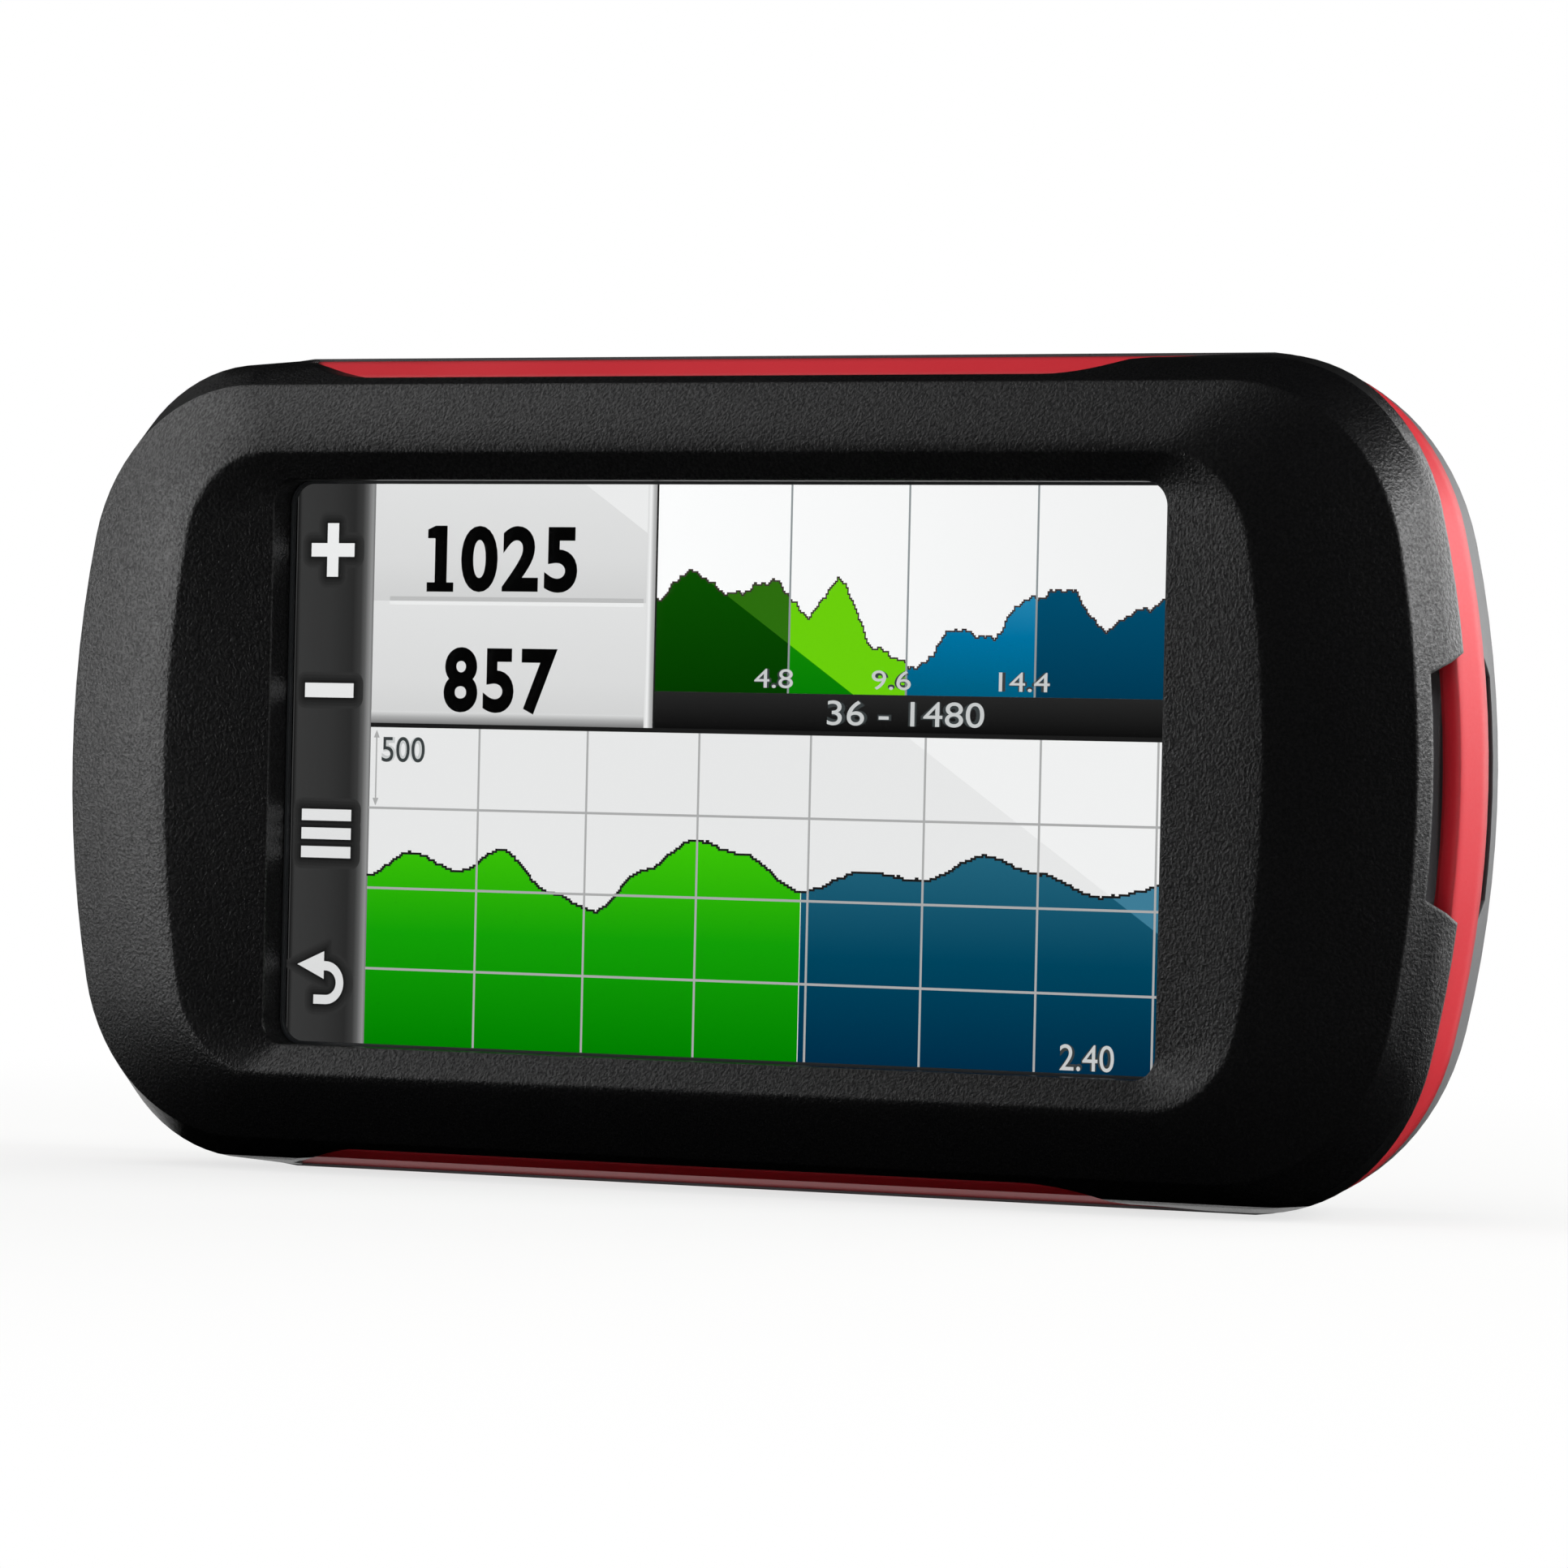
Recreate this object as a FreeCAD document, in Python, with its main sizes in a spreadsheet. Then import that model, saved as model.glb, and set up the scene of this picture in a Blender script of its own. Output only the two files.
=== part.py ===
"""Rugged handheld GPS unit with a touch display, as a parametric FreeCAD document in millimetres.

The unit stands in landscape on its long edge: X along its length with the strap bar at +X,
Y from front to back with the display facing -Y, Z up, and its origin below its centre.
"Forward" below means the distance in front of the mid plane, so Y is minus forward.
"""
import FreeCAD, Part
import math
import os
import re

import Sketcher
from FreeCAD import Placement, Rotation, Vector

DOC = FreeCAD.newDocument("HandheldGpsUnit")

SIZES = [
    # body outline
    ("body_length", 144.2), ("body_height", 74.8), ("body_depth", 36.4),
    ("corner_round", 20.0), ("end_bow", 90.0),
    # sculpted front: crease round the edge of the face, crest nearer the window, then the window
    ("crease_sink", 3.6), ("crease_inset_length", 2.1), ("crease_inset_height", 2.9),
    ("crease_round", 17.5), ("crease_bow", 100.0),
    ("crest_inset_length", 14.9), ("crest_inset_height", 8.8), ("crest_round", 9.4),
    ("crest_bow", 110.0), ("crest_land", 0.35),
    ("window_inset_length", 25.65), ("window_inset_height", 11.65), ("window_round", 2.2),
    ("window_sink", 1.45), ("face_thick", 5.8),
    # side band and what it wraps
    ("band_front", 8.4), ("band_rear", 5.0), ("band_step", 0.25), ("rear_step", 0.35),
    ("bumper_step", 0.1),
    ("band_inset_length", 1.2), ("band_inset_height", 1.9), ("wall_step", 0.3),
    ("bulge_forward", 10.5), ("bulge_inset_length", 0.7), ("bulge_inset_height", 0.8),
    ("bulge_round", 16.0), ("bulge_bow", 95.0),
    ("skirt_inset_length", 2.9), ("skirt_inset_height", 3.4), ("skirt_wall", 1.6),
    ("seal_thick", 0.6), ("bumper_skin", 1.15), ("band_play", 0.1),
    # waves of the bumpers over the band, measured in from the ends
    ("wave_start_in_low", 24.5), ("wave_start_in_high", 31.5), ("wave_full_in_low", 21.6),
    ("wave_full_in_high", 24.0), ("wave_end_in", 21.0), ("wave_foot_in", 1.2),
    ("dip_foot_in_low", 33.4), ("dip_foot_in_high", 40.6), ("dip_top_in_low", 19.0),
    ("dip_top_in_high", 27.6),
    # strap slot at the +X end
    ("slot_depth", 7.4), ("slot_wall", 1.7), ("slot_mouth", 23.0), ("slot_floor", 19.2),
    ("slot_sink", 5.3), ("slot_back", 0.4), ("slot_block", 27.0),
    # rear housing
    ("tail_depth", 10.2), ("flat_skim", 0.06), ("rear_inset_length", 11.6), ("rear_inset_height", 7.4),
    ("rear_round", 14.0), ("rear_wall", 3.8), ("waist_inset_length", 6.6),
    ("cavity_inset_length", 15.1), ("cavity_inset_height", 9.9),
    # display stack
    ("ledge_sink", 4.3), ("gasket_thick", 0.5), ("gasket_show", 0.25), ("glass_lap", 1.9),
    ("glass_thick", 1.0), ("glass_play", 0.25), ("bond_gap", 0.2), ("cell_lap", 0.55),
    ("cell_thick", 1.2), ("backlight_thick", 1.6), ("frame_sheet", 0.4),
    ("standoff_round", 1.6), ("standoff_in", 6.8),
    # main board and what sits on it
    ("board_front", 4.8), ("board_thick", 1.2), ("board_inset_height", 6.8),
    ("board_round", 10.0), ("board_margin", 5.6), ("board_slot_gap", 0.6), ("patch_wide", 16.0),
    ("patch_thick", 4.0), ("beeper_round", 4.5), ("beeper_tall", 3.0), ("shield_long", 30.0),
    ("shield_inset", 10.5), ("shield_apart", 28.0), ("shield_tall", 2.2),
    ("shield_sheet", 0.3), ("card_wide", 11.0), ("card_long", 15.0), ("card_thick", 0.8),
    ("card_cage", 1.9), ("card_in", 12.4),
    # screws and bosses
    ("screw_inset_length", 16.1), ("screw_inset_height", 13.9), ("screw_core", 1.0),
    ("screw_head", 2.0), ("screw_head_tall", 1.3), ("screw_seat_back", 2.0),
    ("screw_grip", 13.0), ("boss_round", 3.2), ("screw_sink", 2.4), ("board_play", 0.4),
    # battery and its bay
    ("battery_inset_length", 44.1), ("battery_inset_height", 14.9), ("battery_centre", 2.0),
    ("bay_play", 0.4), ("bay_wall", 1.6), ("bay_floor_back", 0.4), ("bay_floor_thick", 1.4),
    ("contact_room", 1.6), ("post_in", 2.0),
    # battery door, spine and latch
    ("door_inset_length", 29.6), ("door_inset_height", 11.2), ("door_centre", 11.5),
    ("door_thick", 2.0), ("door_round", 9.0), ("door_play", 0.25),
    ("spine_inset_length", 46.1), ("spine_centre", 1.0), ("spine_neck", 13.0),
    ("spine_head", 18.0), ("spine_neck_tall", 1.1),
    ("seal_width", 1.2), ("seal_height", 0.8), ("seal_margin", 1.2),
    ("latch_in", 28.1), ("latch_flange", 7.6), ("latch_flange_thick", 1.2),
    ("latch_sink", 1.6), ("latch_post", 3.2), ("latch_play", 0.06), ("latch_gap", 0.3),
    ("latch_boss", 8.4), ("latch_boss_tall", 1.2), ("latch_well", 8.7), ("latch_wall", 1.7),
    ("well_deep", 4.2), ("ledge_thick", 1.4), ("chamber_round", 6.2), ("chamber_deep", 2.6),
    ("lug_length", 11.0), ("lug_width", 4.0), ("lug_thick", 1.5), ("lug_play", 0.4),
    ("ring_outer", 7.0), ("ring_wire", 1.8), ("ring_eye", 1.0), ("ring_eye_long", 1.9),
    ("pin_core", 0.6), ("pin_play", 0.05), ("hub_length", 9.2), ("hub_width", 3.0),
    ("clip_outer", 5.0), ("clip_thick", 0.6), ("clip_neck", 2.65),
    # weather caps
    ("cap_thick", 1.6), ("cap_front", 3.8), ("cap_back", 4.8), ("cap_play", 0.2),
    ("cap_plug_deep", 1.1), ("cap_gap", 0.1),
    ("usb_in", 48.1), ("usb_cap_wide", 14.0), ("usb_wide", 8.0), ("usb_deep", 2.7),
    ("audio_in", 28.6), ("audio_cap_wide", 9.4), ("jack_bore", 1.8), ("jack_deep", 11.5),
    ("jack_body", 6.0), ("jack_nose", 3.0), ("coax_bore", 1.7),
    ("coax_in", 25.6), ("coax_up", 16.0), ("coax_body", 2.6), ("socket_top", 3.0),
    # power button
    ("key_in", 30.1), ("key_long", 11.0), ("key_wide", 4.4), ("key_play", 0.15),
    ("key_sink", 0.3), ("key_flange", 1.0), ("key_travel", 0.5), ("key_dish", 0.8),
    # camera and contacts
    ("camera_in", 27.6), ("camera_up", -6.0), ("camera_rim", 6.0), ("camera_pane", 4.4),
    ("camera_pane_thick", 1.0), ("camera_bore", 2.8), ("camera_body", 9.0), ("camera_deep", 6.5),
    ("pad_in", 14.9), ("pad_round", 1.0), ("pad_pitch", 4.0),
]

# Places and sizes that follow from the sheet, as sums over it and over each other.
FOLLOWS = {
    "half_length": "body_length / 2",
    "half_height": "body_height / 2",
    "half_depth": "body_depth / 2",
    "rear_face": "half_depth - door_thick",
    # front
    "crease_forward": "half_depth - crease_sink",
    "window_forward": "half_depth - window_sink",
    "ledge_forward": "half_depth - ledge_sink",
    "face_back": "half_depth - face_thick",
    "slot_forward": "half_depth - slot_sink",
    "slot_inner": "half_length - slot_depth",
    "crease_half_length": "half_length - crease_inset_length",
    "crease_half_height": "half_height - crease_inset_height",
    "crest_half_length": "half_length - crest_inset_length",
    "crest_half_height": "half_height - crest_inset_height",
    "window_half_length": "half_length - window_inset_length",
    "window_half_height": "half_height - window_inset_height",
    "wall_half_length": "half_length - band_inset_length - wall_step",
    "wall_half_height": "half_height - band_inset_height - wall_step",
    # display stack
    "glass_front": "ledge_forward - gasket_thick",
    "cell_front": "glass_front - glass_thick - bond_gap",
    "frame_back": "cell_front - cell_thick - backlight_thick",
    "cell_half_length": "window_half_length + cell_lap",
    "cell_half_height": "window_half_height + cell_lap",
    "standoff_along": "cell_half_length - standoff_in",
    "standoff_up": "cell_half_height - standoff_in",
    # board and screws
    "board_rear": "board_front - board_thick",
    "board_low_end": "skirt_inset_length + skirt_wall + board_margin - half_length",
    "board_high_end": "slot_inner - slot_wall - board_slot_gap",
    "board_half_height": "half_height - board_inset_height",
    "screw_along": "half_length - screw_inset_length",
    "screw_up": "half_height - screw_inset_height",
    # rear
    "flank_back": "rear_face - tail_depth",
    "rear_wall_back": "rear_face - rear_wall",
    "rear_half_length": "half_length - rear_inset_length",
    "rear_half_height": "half_height - rear_inset_height",
    "battery_length": "body_length - 2 * battery_inset_length",
    "battery_height": "body_height - 2 * battery_inset_height",
    "battery_thick": "rear_face - door_thick - bay_floor_back - bay_play",
    "bay_centre": "battery_centre + contact_room / 2",
    "bay_length": "battery_length + 2 * bay_play + contact_room",
    "bay_height": "battery_height + 2 * bay_play",
    "card_along": "bay_centre - bay_length / 2 + card_in",
    "shield_along": "card_along + shield_apart",
    "door_length": "body_length - 2 * door_inset_length",
    "door_height": "body_height - 2 * door_inset_height",
    "spine_length": "body_length - 2 * spine_inset_length",
    "latch_along": "half_length - latch_in",
    "well_back": "rear_face - well_deep",
    "latch_ledge": "well_back - ledge_thick",
    "latch_floor": "latch_ledge - chamber_deep",
    "flange_seat": "rear_face - latch_sink + 0.1",
    "flange_top": "flange_seat + latch_flange_thick",
    "pin_back": "flange_top + 0.2 + ring_wire / 2",
    "usb_along": "half_length - usb_in",
    "audio_along": "half_length - audio_in",
    "coax_along": "coax_in - half_length",
    "key_along": "key_in - half_length",
    "camera_along": "camera_in - half_length",
    "pad_along": "half_length - pad_in",
    "cap_middle": "(cap_back - cap_front) / 2",
    "usb_centre": "usb_deep / 2 - board_rear",
    "jack_centre": "jack_body / 2 - board_rear",
    "key_inner": "skirt_inset_height + skirt_wall + 0.1",
}

# How far the face has come from crease to crest, and how much of its rise it has made by then.
FACE_CURVE = [(0.13, 0.15), (0.3, 0.35), (0.5, 0.57), (0.72, 0.79), (0.9, 0.94), (1.0, 1.0)]
# Places along the rear housing's depth where its outline is drawn: flat sides, then the rounding.
FLANK_STEPS = [0.0, 0.14, 0.32]
TAIL_STEPS = [0.3, 0.58, 0.8, 0.93, 1.0]

sheet = DOC.addObject("Spreadsheet::Sheet", "Sizes")
for line, (alias, number) in enumerate(SIZES, start=1):
    sheet.set(f"A{line}", alias)
    sheet.set(f"B{line}", str(number))
    sheet.setAlias(f"B{line}", alias)
DOC.recompute()

ALIASES = {alias for alias, _ in SIZES}
NODES = []


# ---------------------------------------------------------------- helpers

def bound(text):
    """Turn a sum of size names into an expression over the sheet."""
    def named(word):
        name = word.group(0)
        if name in FOLLOWS:
            return "(" + bound(FOLLOWS[name]) + ")"
        return "Sizes." + name if name in ALIASES else name
    return re.sub(r"[A-Za-z_][A-Za-z_0-9]*", named, str(text))


def value(text):
    """The number that a sum of size names gives now."""
    return float(sheet.evalExpression(bound(text)))


def drive(thing, path, text):
    thing.setExpression(path, bound(text))


def new_body(label, up="half_height"):
    """A PartDesign body whose own origin lies on the unit's centre line."""
    body = DOC.addObject("PartDesign::Body", label)
    body.Label = label
    drive(body, "Placement.Base.z", up)
    NODES.append(body)
    return body


def new_sketch(body, plane, right="0", up="0", out="0"):
    """A sketch on one of the body's origin planes, shifted by sums of size names."""
    sketch = body.newObject("Sketcher::SketchObject", body.Label + "_sketch")
    role = plane + "_Plane"
    sketch.AttachmentSupport = [(next(f for f in body.Origin.OriginFeatures if f.Role == role), "")]
    sketch.MapMode = "FlatFace"
    for axis, text in (("x", right), ("y", up), ("z", out)):
        drive(sketch, "AttachmentOffset.Base." + axis, text)
    return sketch


def add_limit(sketch, text, *what):
    """A dimension driven by a sum of size names."""
    index = sketch.addConstraint(Sketcher.Constraint(*what, value(text)))
    sketch.setExpression(f"Constraints[{index}]", bound(text))


def close_loop(sketch, first, count):
    """Join a run of curves end to start, each tangent to the next."""
    for step in range(count):
        follower = first + (step + 1) % count
        sketch.addConstraint(Sketcher.Constraint("Tangent", first + step, 2, follower, 1))


def add_circle(sketch, radius):
    loop = sketch.addGeometry(Part.Circle(Vector(0, 0, 0), Vector(0, 0, 1), value(radius)))
    sketch.addConstraint(Sketcher.Constraint("Coincident", loop, 3, -1, 1))
    add_limit(sketch, radius, "Radius", loop)


def add_round_rect(sketch, wide, tall, corner):
    """A rectangle with rounded corners, centred on the sketch."""
    reach, rise, turn = value(wide) / 2, value(tall) / 2, value(corner)
    inner_x, inner_y = reach - turn, rise - turn
    corners = [(1, -1), (1, 1), (-1, 1), (-1, -1)]
    sides = [(Vector(reach, -inner_y), Vector(reach, inner_y)),
             (Vector(inner_x, rise), Vector(-inner_x, rise)),
             (Vector(-reach, inner_y), Vector(-reach, -inner_y)),
             (Vector(-inner_x, -rise), Vector(inner_x, -rise))]
    first = sketch.GeometryCount
    for quarter, (start, end) in enumerate(sides):
        sketch.addGeometry(Part.LineSegment(start, end))
        across, along = corners[(quarter + 1) % 4]
        round_off = Part.Circle(Vector(across * inner_x, along * inner_y), Vector(0, 0, 1), turn)
        sketch.addGeometry(Part.ArcOfCircle(round_off, quarter * math.pi / 2,
                                            (quarter + 1) * math.pi / 2))
    close_loop(sketch, first, 8)
    for upright, level in ((0, 2), (4, 6)):
        sketch.addConstraint(Sketcher.Constraint("Vertical", first + upright))
        sketch.addConstraint(Sketcher.Constraint("Horizontal", first + level))
    for arc in (3, 5, 7):
        sketch.addConstraint(Sketcher.Constraint("Equal", first + 1, first + arc))
    add_limit(sketch, corner, "Radius", first + 1)
    add_limit(sketch, f"({wide}) / 2", "DistanceX", -1, 1, first, 1)
    add_limit(sketch, f"({wide}) / 2", "DistanceX", first + 4, 1, -1, 1)
    add_limit(sketch, f"({tall}) / 2", "DistanceY", -1, 1, first + 2, 1)
    add_limit(sketch, f"({tall}) / 2", "DistanceY", first + 6, 1, -1, 1)


def add_outline(sketch, half_length, half_height, corner, bow):
    """The body's outline: straight long sides, bowed ends and arcs between, all tangent."""
    length, height, turn, sweep = (value(text) for text in (half_length, half_height, corner, bow))
    bow_centre = sweep - length
    corner_y = height - turn
    corner_x = math.sqrt((sweep - turn) ** 2 - corner_y ** 2) - bow_centre
    lean = math.atan2(corner_y, corner_x + bow_centre)
    first = sketch.GeometryCount

    def arc(centre_x, centre_y, radius, start, end):
        whole = Part.Circle(Vector(centre_x, centre_y), Vector(0, 0, 1), radius)
        sketch.addGeometry(Part.ArcOfCircle(whole, start, end))

    arc(-bow_centre, 0, sweep, -lean, lean)
    arc(corner_x, corner_y, turn, lean, math.pi / 2)
    sketch.addGeometry(Part.LineSegment(Vector(corner_x, height), Vector(-corner_x, height)))
    arc(-corner_x, corner_y, turn, math.pi / 2, math.pi - lean)
    arc(bow_centre, 0, sweep, math.pi - lean, math.pi + lean)
    arc(-corner_x, -corner_y, turn, math.pi + lean, 3 * math.pi / 2)
    sketch.addGeometry(Part.LineSegment(Vector(-corner_x, -height), Vector(corner_x, -height)))
    arc(corner_x, -corner_y, turn, 3 * math.pi / 2, 2 * math.pi - lean)

    close_loop(sketch, first, 8)
    for level in (2, 6):
        sketch.addConstraint(Sketcher.Constraint("Horizontal", first + level))
    for small in (3, 5, 7):
        sketch.addConstraint(Sketcher.Constraint("Equal", first + 1, first + small))
    sketch.addConstraint(Sketcher.Constraint("Equal", first, first + 4))
    for end in (0, 4):
        sketch.addConstraint(Sketcher.Constraint("PointOnObject", first + end, 3, -1))
    add_limit(sketch, corner, "Radius", first + 1)
    add_limit(sketch, bow, "Radius", first)
    add_limit(sketch, half_height, "DistanceY", -1, 1, first + 2, 1)
    add_limit(sketch, half_height, "DistanceY", first + 6, 1, -1, 1)
    add_limit(sketch, f"({bow}) - ({half_length})", "DistanceX", first, 3, -1, 1)
    add_limit(sketch, f"({bow}) - ({half_length})", "DistanceX", -1, 1, first + 4, 3)


def add_profile(sketch, points, arcs=None):
    """A closed loop through points given as sums; arcs maps an edge to its centre's x and turn."""
    arcs = arcs or {}
    spots = [Vector(value(x), value(y)) for x, y in points]
    first = sketch.GeometryCount
    for edge, spot in enumerate(spots):
        goal = spots[(edge + 1) % len(spots)]
        if edge not in arcs:
            sketch.addGeometry(Part.LineSegment(spot, goal))
            continue
        centre_x, turn = value(arcs[edge][0]), arcs[edge][1]
        # the centre lies where both ends are equally far from it
        centre_y = ((goal.x - centre_x) ** 2 - (spot.x - centre_x) ** 2
                    + goal.y ** 2 - spot.y ** 2) / (2 * (goal.y - spot.y))
        centre = Vector(centre_x, centre_y)
        low, high = (spot, goal) if turn > 0 else (goal, spot)
        start = math.atan2(low.y - centre_y, low.x - centre_x)
        end = math.atan2(high.y - centre_y, high.x - centre_x)
        if end < start:
            end += 2 * math.pi
        ring = Part.Circle(centre, Vector(0, 0, 1), spot.distanceToPoint(centre))
        sketch.addGeometry(Part.ArcOfCircle(ring, start, end))

    def tip(edge, leaving):
        forward = edge not in arcs or arcs[edge][1] > 0
        return 1 if leaving == forward else 2

    for edge, (x, y) in enumerate(points):
        before = (edge - 1) % len(points)
        sketch.addConstraint(Sketcher.Constraint("Coincident", first + before, tip(before, False),
                                                 first + edge, tip(edge, True)))
        add_limit(sketch, x, "DistanceX", -1, 1, first + edge, tip(edge, True))
        add_limit(sketch, y, "DistanceY", -1, 1, first + edge, tip(edge, True))
    for edge, (centre_x, _) in arcs.items():
        add_limit(sketch, centre_x, "DistanceX", -1, 1, first + edge, 3)


def pad(body, sketch, length, backward=False, both=False):
    """Add material along the sketch's normal, against it, or both ways."""
    feature = body.newObject("PartDesign::Pad", body.Label + "_pad")
    feature.Profile = sketch
    drive(feature, "Length", length)
    feature.Reversed = backward
    feature.Midplane = both
    return feature


def pocket(body, sketch, length, along=False, both=False):
    """Cut against the sketch's normal, along it, or both ways."""
    feature = body.newObject("PartDesign::Pocket", body.Label + "_pocket")
    feature.Profile = sketch
    drive(feature, "Length", length)
    feature.Reversed = along
    feature.Midplane = both
    return feature


def loft(body, sketches, cut=False, straight=True):
    kind = "PartDesign::SubtractiveLoft" if cut else "PartDesign::AdditiveLoft"
    feature = body.newObject(kind, body.Label + "_loft")
    feature.Profile = sketches[0]
    feature.Sections = sketches[1:]
    feature.Ruled = straight
    return feature


def outline_at(body, forward, half_length, half_height, corner, bow):
    sketch = new_sketch(body, "XZ", out=forward)
    add_outline(sketch, half_length, half_height, corner, bow)
    return sketch


def rect_at(body, forward, wide, tall, corner, right="0", up="0"):
    sketch = new_sketch(body, "XZ", right=right, up=up, out=forward)
    add_round_rect(sketch, wide, tall, corner)
    return sketch


def circle_at(body, forward, radius, right="0", up="0"):
    sketch = new_sketch(body, "XZ", right=right, up=up, out=forward)
    add_circle(sketch, radius)
    return sketch


def place(shape, label, x, y, z, rotation=None):
    """Name a primitive and tie its place to the sheet."""
    shape.Label = label
    if rotation is not None:
        shape.Placement = Placement(Vector(), rotation)
    for axis, text in (("x", x), ("y", y), ("z", z)):
        drive(shape, "Placement.Base." + axis, text)
    return shape


def box(label, centre, size):
    """A block round a centre, both given as three sums."""
    shape = DOC.addObject("Part::Box", label)
    for prop, text in zip(("Length", "Width", "Height"), size):
        drive(shape, prop, text)
    corner = [f"({middle}) - ({extent}) / 2" for middle, extent in zip(centre, size)]
    return place(shape, label, *corner)


def rod(label, base, radius, length, axis="Y"):
    """A cylinder from its base point towards +Y or +Z."""
    shape = DOC.addObject("Part::Cylinder", label)
    drive(shape, "Radius", radius)
    drive(shape, "Height", length)
    turn = Rotation(Vector(1, 0, 0), -90) if axis == "Y" else Rotation()
    return place(shape, label, *base, turn)


def cut(label, base, tool):
    shape = DOC.addObject("Part::Cut", label)
    shape.Label = label
    shape.Base = base
    shape.Tool = tool
    return shape


def fuse(label, *pieces):
    shape = DOC.addObject("Part::MultiFuse", label)
    shape.Label = label
    shape.Shapes = list(pieces)
    return shape


def group(label, pieces):
    """Like pieces that share one node, each still a solid of its own."""
    shape = DOC.addObject("Part::Compound", label)
    shape.Label = label
    shape.Links = list(pieces)
    return shape


def node(shape):
    NODES.append(shape)
    return shape


def level(up):
    """Height over the floor of a point given from the centre line."""
    return f"half_height + ({up})"


def four_corners():
    return [(across, along) for across in (-1, 1) for along in (-1, 1)]


# ---------------------------------------------------------------- shared forms

def skirt_outline(body, forward, grow="0"):
    """Outer line of the wall that the side band wraps."""
    return outline_at(body, forward, f"half_length - skirt_inset_length + {grow}",
                      f"half_height - skirt_inset_height + {grow}",
                      f"corner_round - skirt_inset_height + {grow}",
                      f"end_bow - skirt_inset_length + {grow}")


def cavity_outline(body, forward):
    """Inner line of that wall, and so the edge of the room inside."""
    return skirt_outline(body, forward, grow="(0 - skirt_wall)")


def slot_block(body, forward, length):
    """Solid ground round the strap slot, from which the slot is then cut."""
    wide = "(slot_wall + half_length - skirt_inset_length - skirt_wall - slot_inner)"
    sketch = rect_at(body, forward, wide, "slot_block", "0.4",
                     right=f"slot_inner - slot_wall + {wide} / 2")
    return pad(body, sketch, length)


def cut_strap_slot(body):
    """The strap's way round the bar: narrower where it meets the front and the rear."""
    sketch = new_sketch(body, "YZ", out="slot_inner")
    mouth, floor = "slot_mouth / 2", "slot_floor / 2"
    half = [("0 - slot_forward", floor), ("0 - band_front", mouth), ("0 - band_rear", mouth),
            ("0 - slot_back", floor)]
    mirrored = [(y, f"0 - {z}") for y, z in reversed(half)]
    add_profile(sketch, half + mirrored)
    return pocket(body, sketch, "slot_depth + 5", along=True)


def wave_edges(side):
    """Where one bumper's wave starts, is full, begins to fall and ends, along X."""
    if side < 0:
        return [f"{inset} - half_length" for inset in ("wave_start_in_low", "wave_full_in_low",
                                                       "wave_end_in", "wave_foot_in")]
    return [f"half_length - {inset}" for inset in ("wave_start_in_high", "wave_full_in_high",
                                                   "wave_end_in", "wave_foot_in")]


def ramp(low, high):
    """Middle point of an S-shaped ramp between two places on the joint line."""
    return (f"(({low}) + ({high})) / 2", "0 - (band_front + band_rear) / 2")


def add_trough(sketch, feet, tops, base, crown, beyond, turn=1):
    """A trough between two S-shaped ramps that rise from its base to its crown, open beyond."""
    middle = f"(({base}) + ({crown})) / 2"
    points = [(feet[0], base), (feet[1], base), (f"(({feet[1]}) + ({tops[1]})) / 2", middle),
              (tops[1], crown), (tops[1], beyond), (tops[0], beyond), (tops[0], crown),
              (f"(({feet[0]}) + ({tops[0]})) / 2", middle)]
    add_profile(sketch, points, {1: (feet[1], turn), 2: (tops[1], -turn), 6: (tops[0], -turn),
                                 7: (feet[0], turn)})


def cut_band_windows(body):
    """Cut the bezel back to the joint line wherever the band shows."""
    front, rear, beyond = "0 - band_front", "0 - band_rear", "0 - band_rear + 3"
    low, high = wave_edges(-1), wave_edges(1)
    sketch = new_sketch(body, "XY")
    add_trough(sketch, (low[0], high[0]), (low[1], high[1]), front, rear, beyond)
    pocket(body, sketch, "body_height + 10", both=True)
    for side, edges in ((-1, low), (1, high)):
        past = f"({edges[3]}) + {side} * 10"
        end = [(edges[2], rear), ramp(edges[2], edges[3]), (edges[3], front), (past, front),
               (past, beyond), (edges[2], beyond)]
        sketch = new_sketch(body, "XY")
        add_profile(sketch, end, {0: (edges[2], -side), 1: (edges[3], side)})
        pocket(body, sketch, "body_height + 10", both=True)


def cut_dips(body):
    """Let the bumpers run down to the lower wall along the middle of each long side."""
    feet = ("dip_foot_in_low - half_length", "half_length - dip_foot_in_high")
    tops = ("dip_top_in_low - half_length", "half_length - dip_top_in_high")
    for side in (1, -1):
        sketch = new_sketch(body, "XZ", out="band_front")
        add_trough(sketch, feet, tops, f"{side} * wall_half_height", f"{side} * half_height",
                   f"{side} * (half_height + 3)", turn=side)
        pocket(body, sketch, "half_depth", along=True)


def cut_bumper_zones(body):
    """Cut the band away where the bumpers cover it."""
    front, rear, ahead = "0 - band_front", "0 - band_rear", "0 - band_front - 3"
    for side in (-1, 1):
        start, full, end, foot = wave_edges(side)
        zone = [(start, front), ramp(start, full), (full, rear), (end, rear), ramp(end, foot),
                (foot, front), (foot, ahead), (start, ahead)]
        curves = {0: (start, side), 1: (full, -side), 3: (end, -side), 4: (foot, side)}
        sketch = new_sketch(body, "XY")
        add_profile(sketch, zone, curves)
        pocket(body, sketch, "body_height + 10", both=True)


# ---------------------------------------------------------------- front bezel

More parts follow.
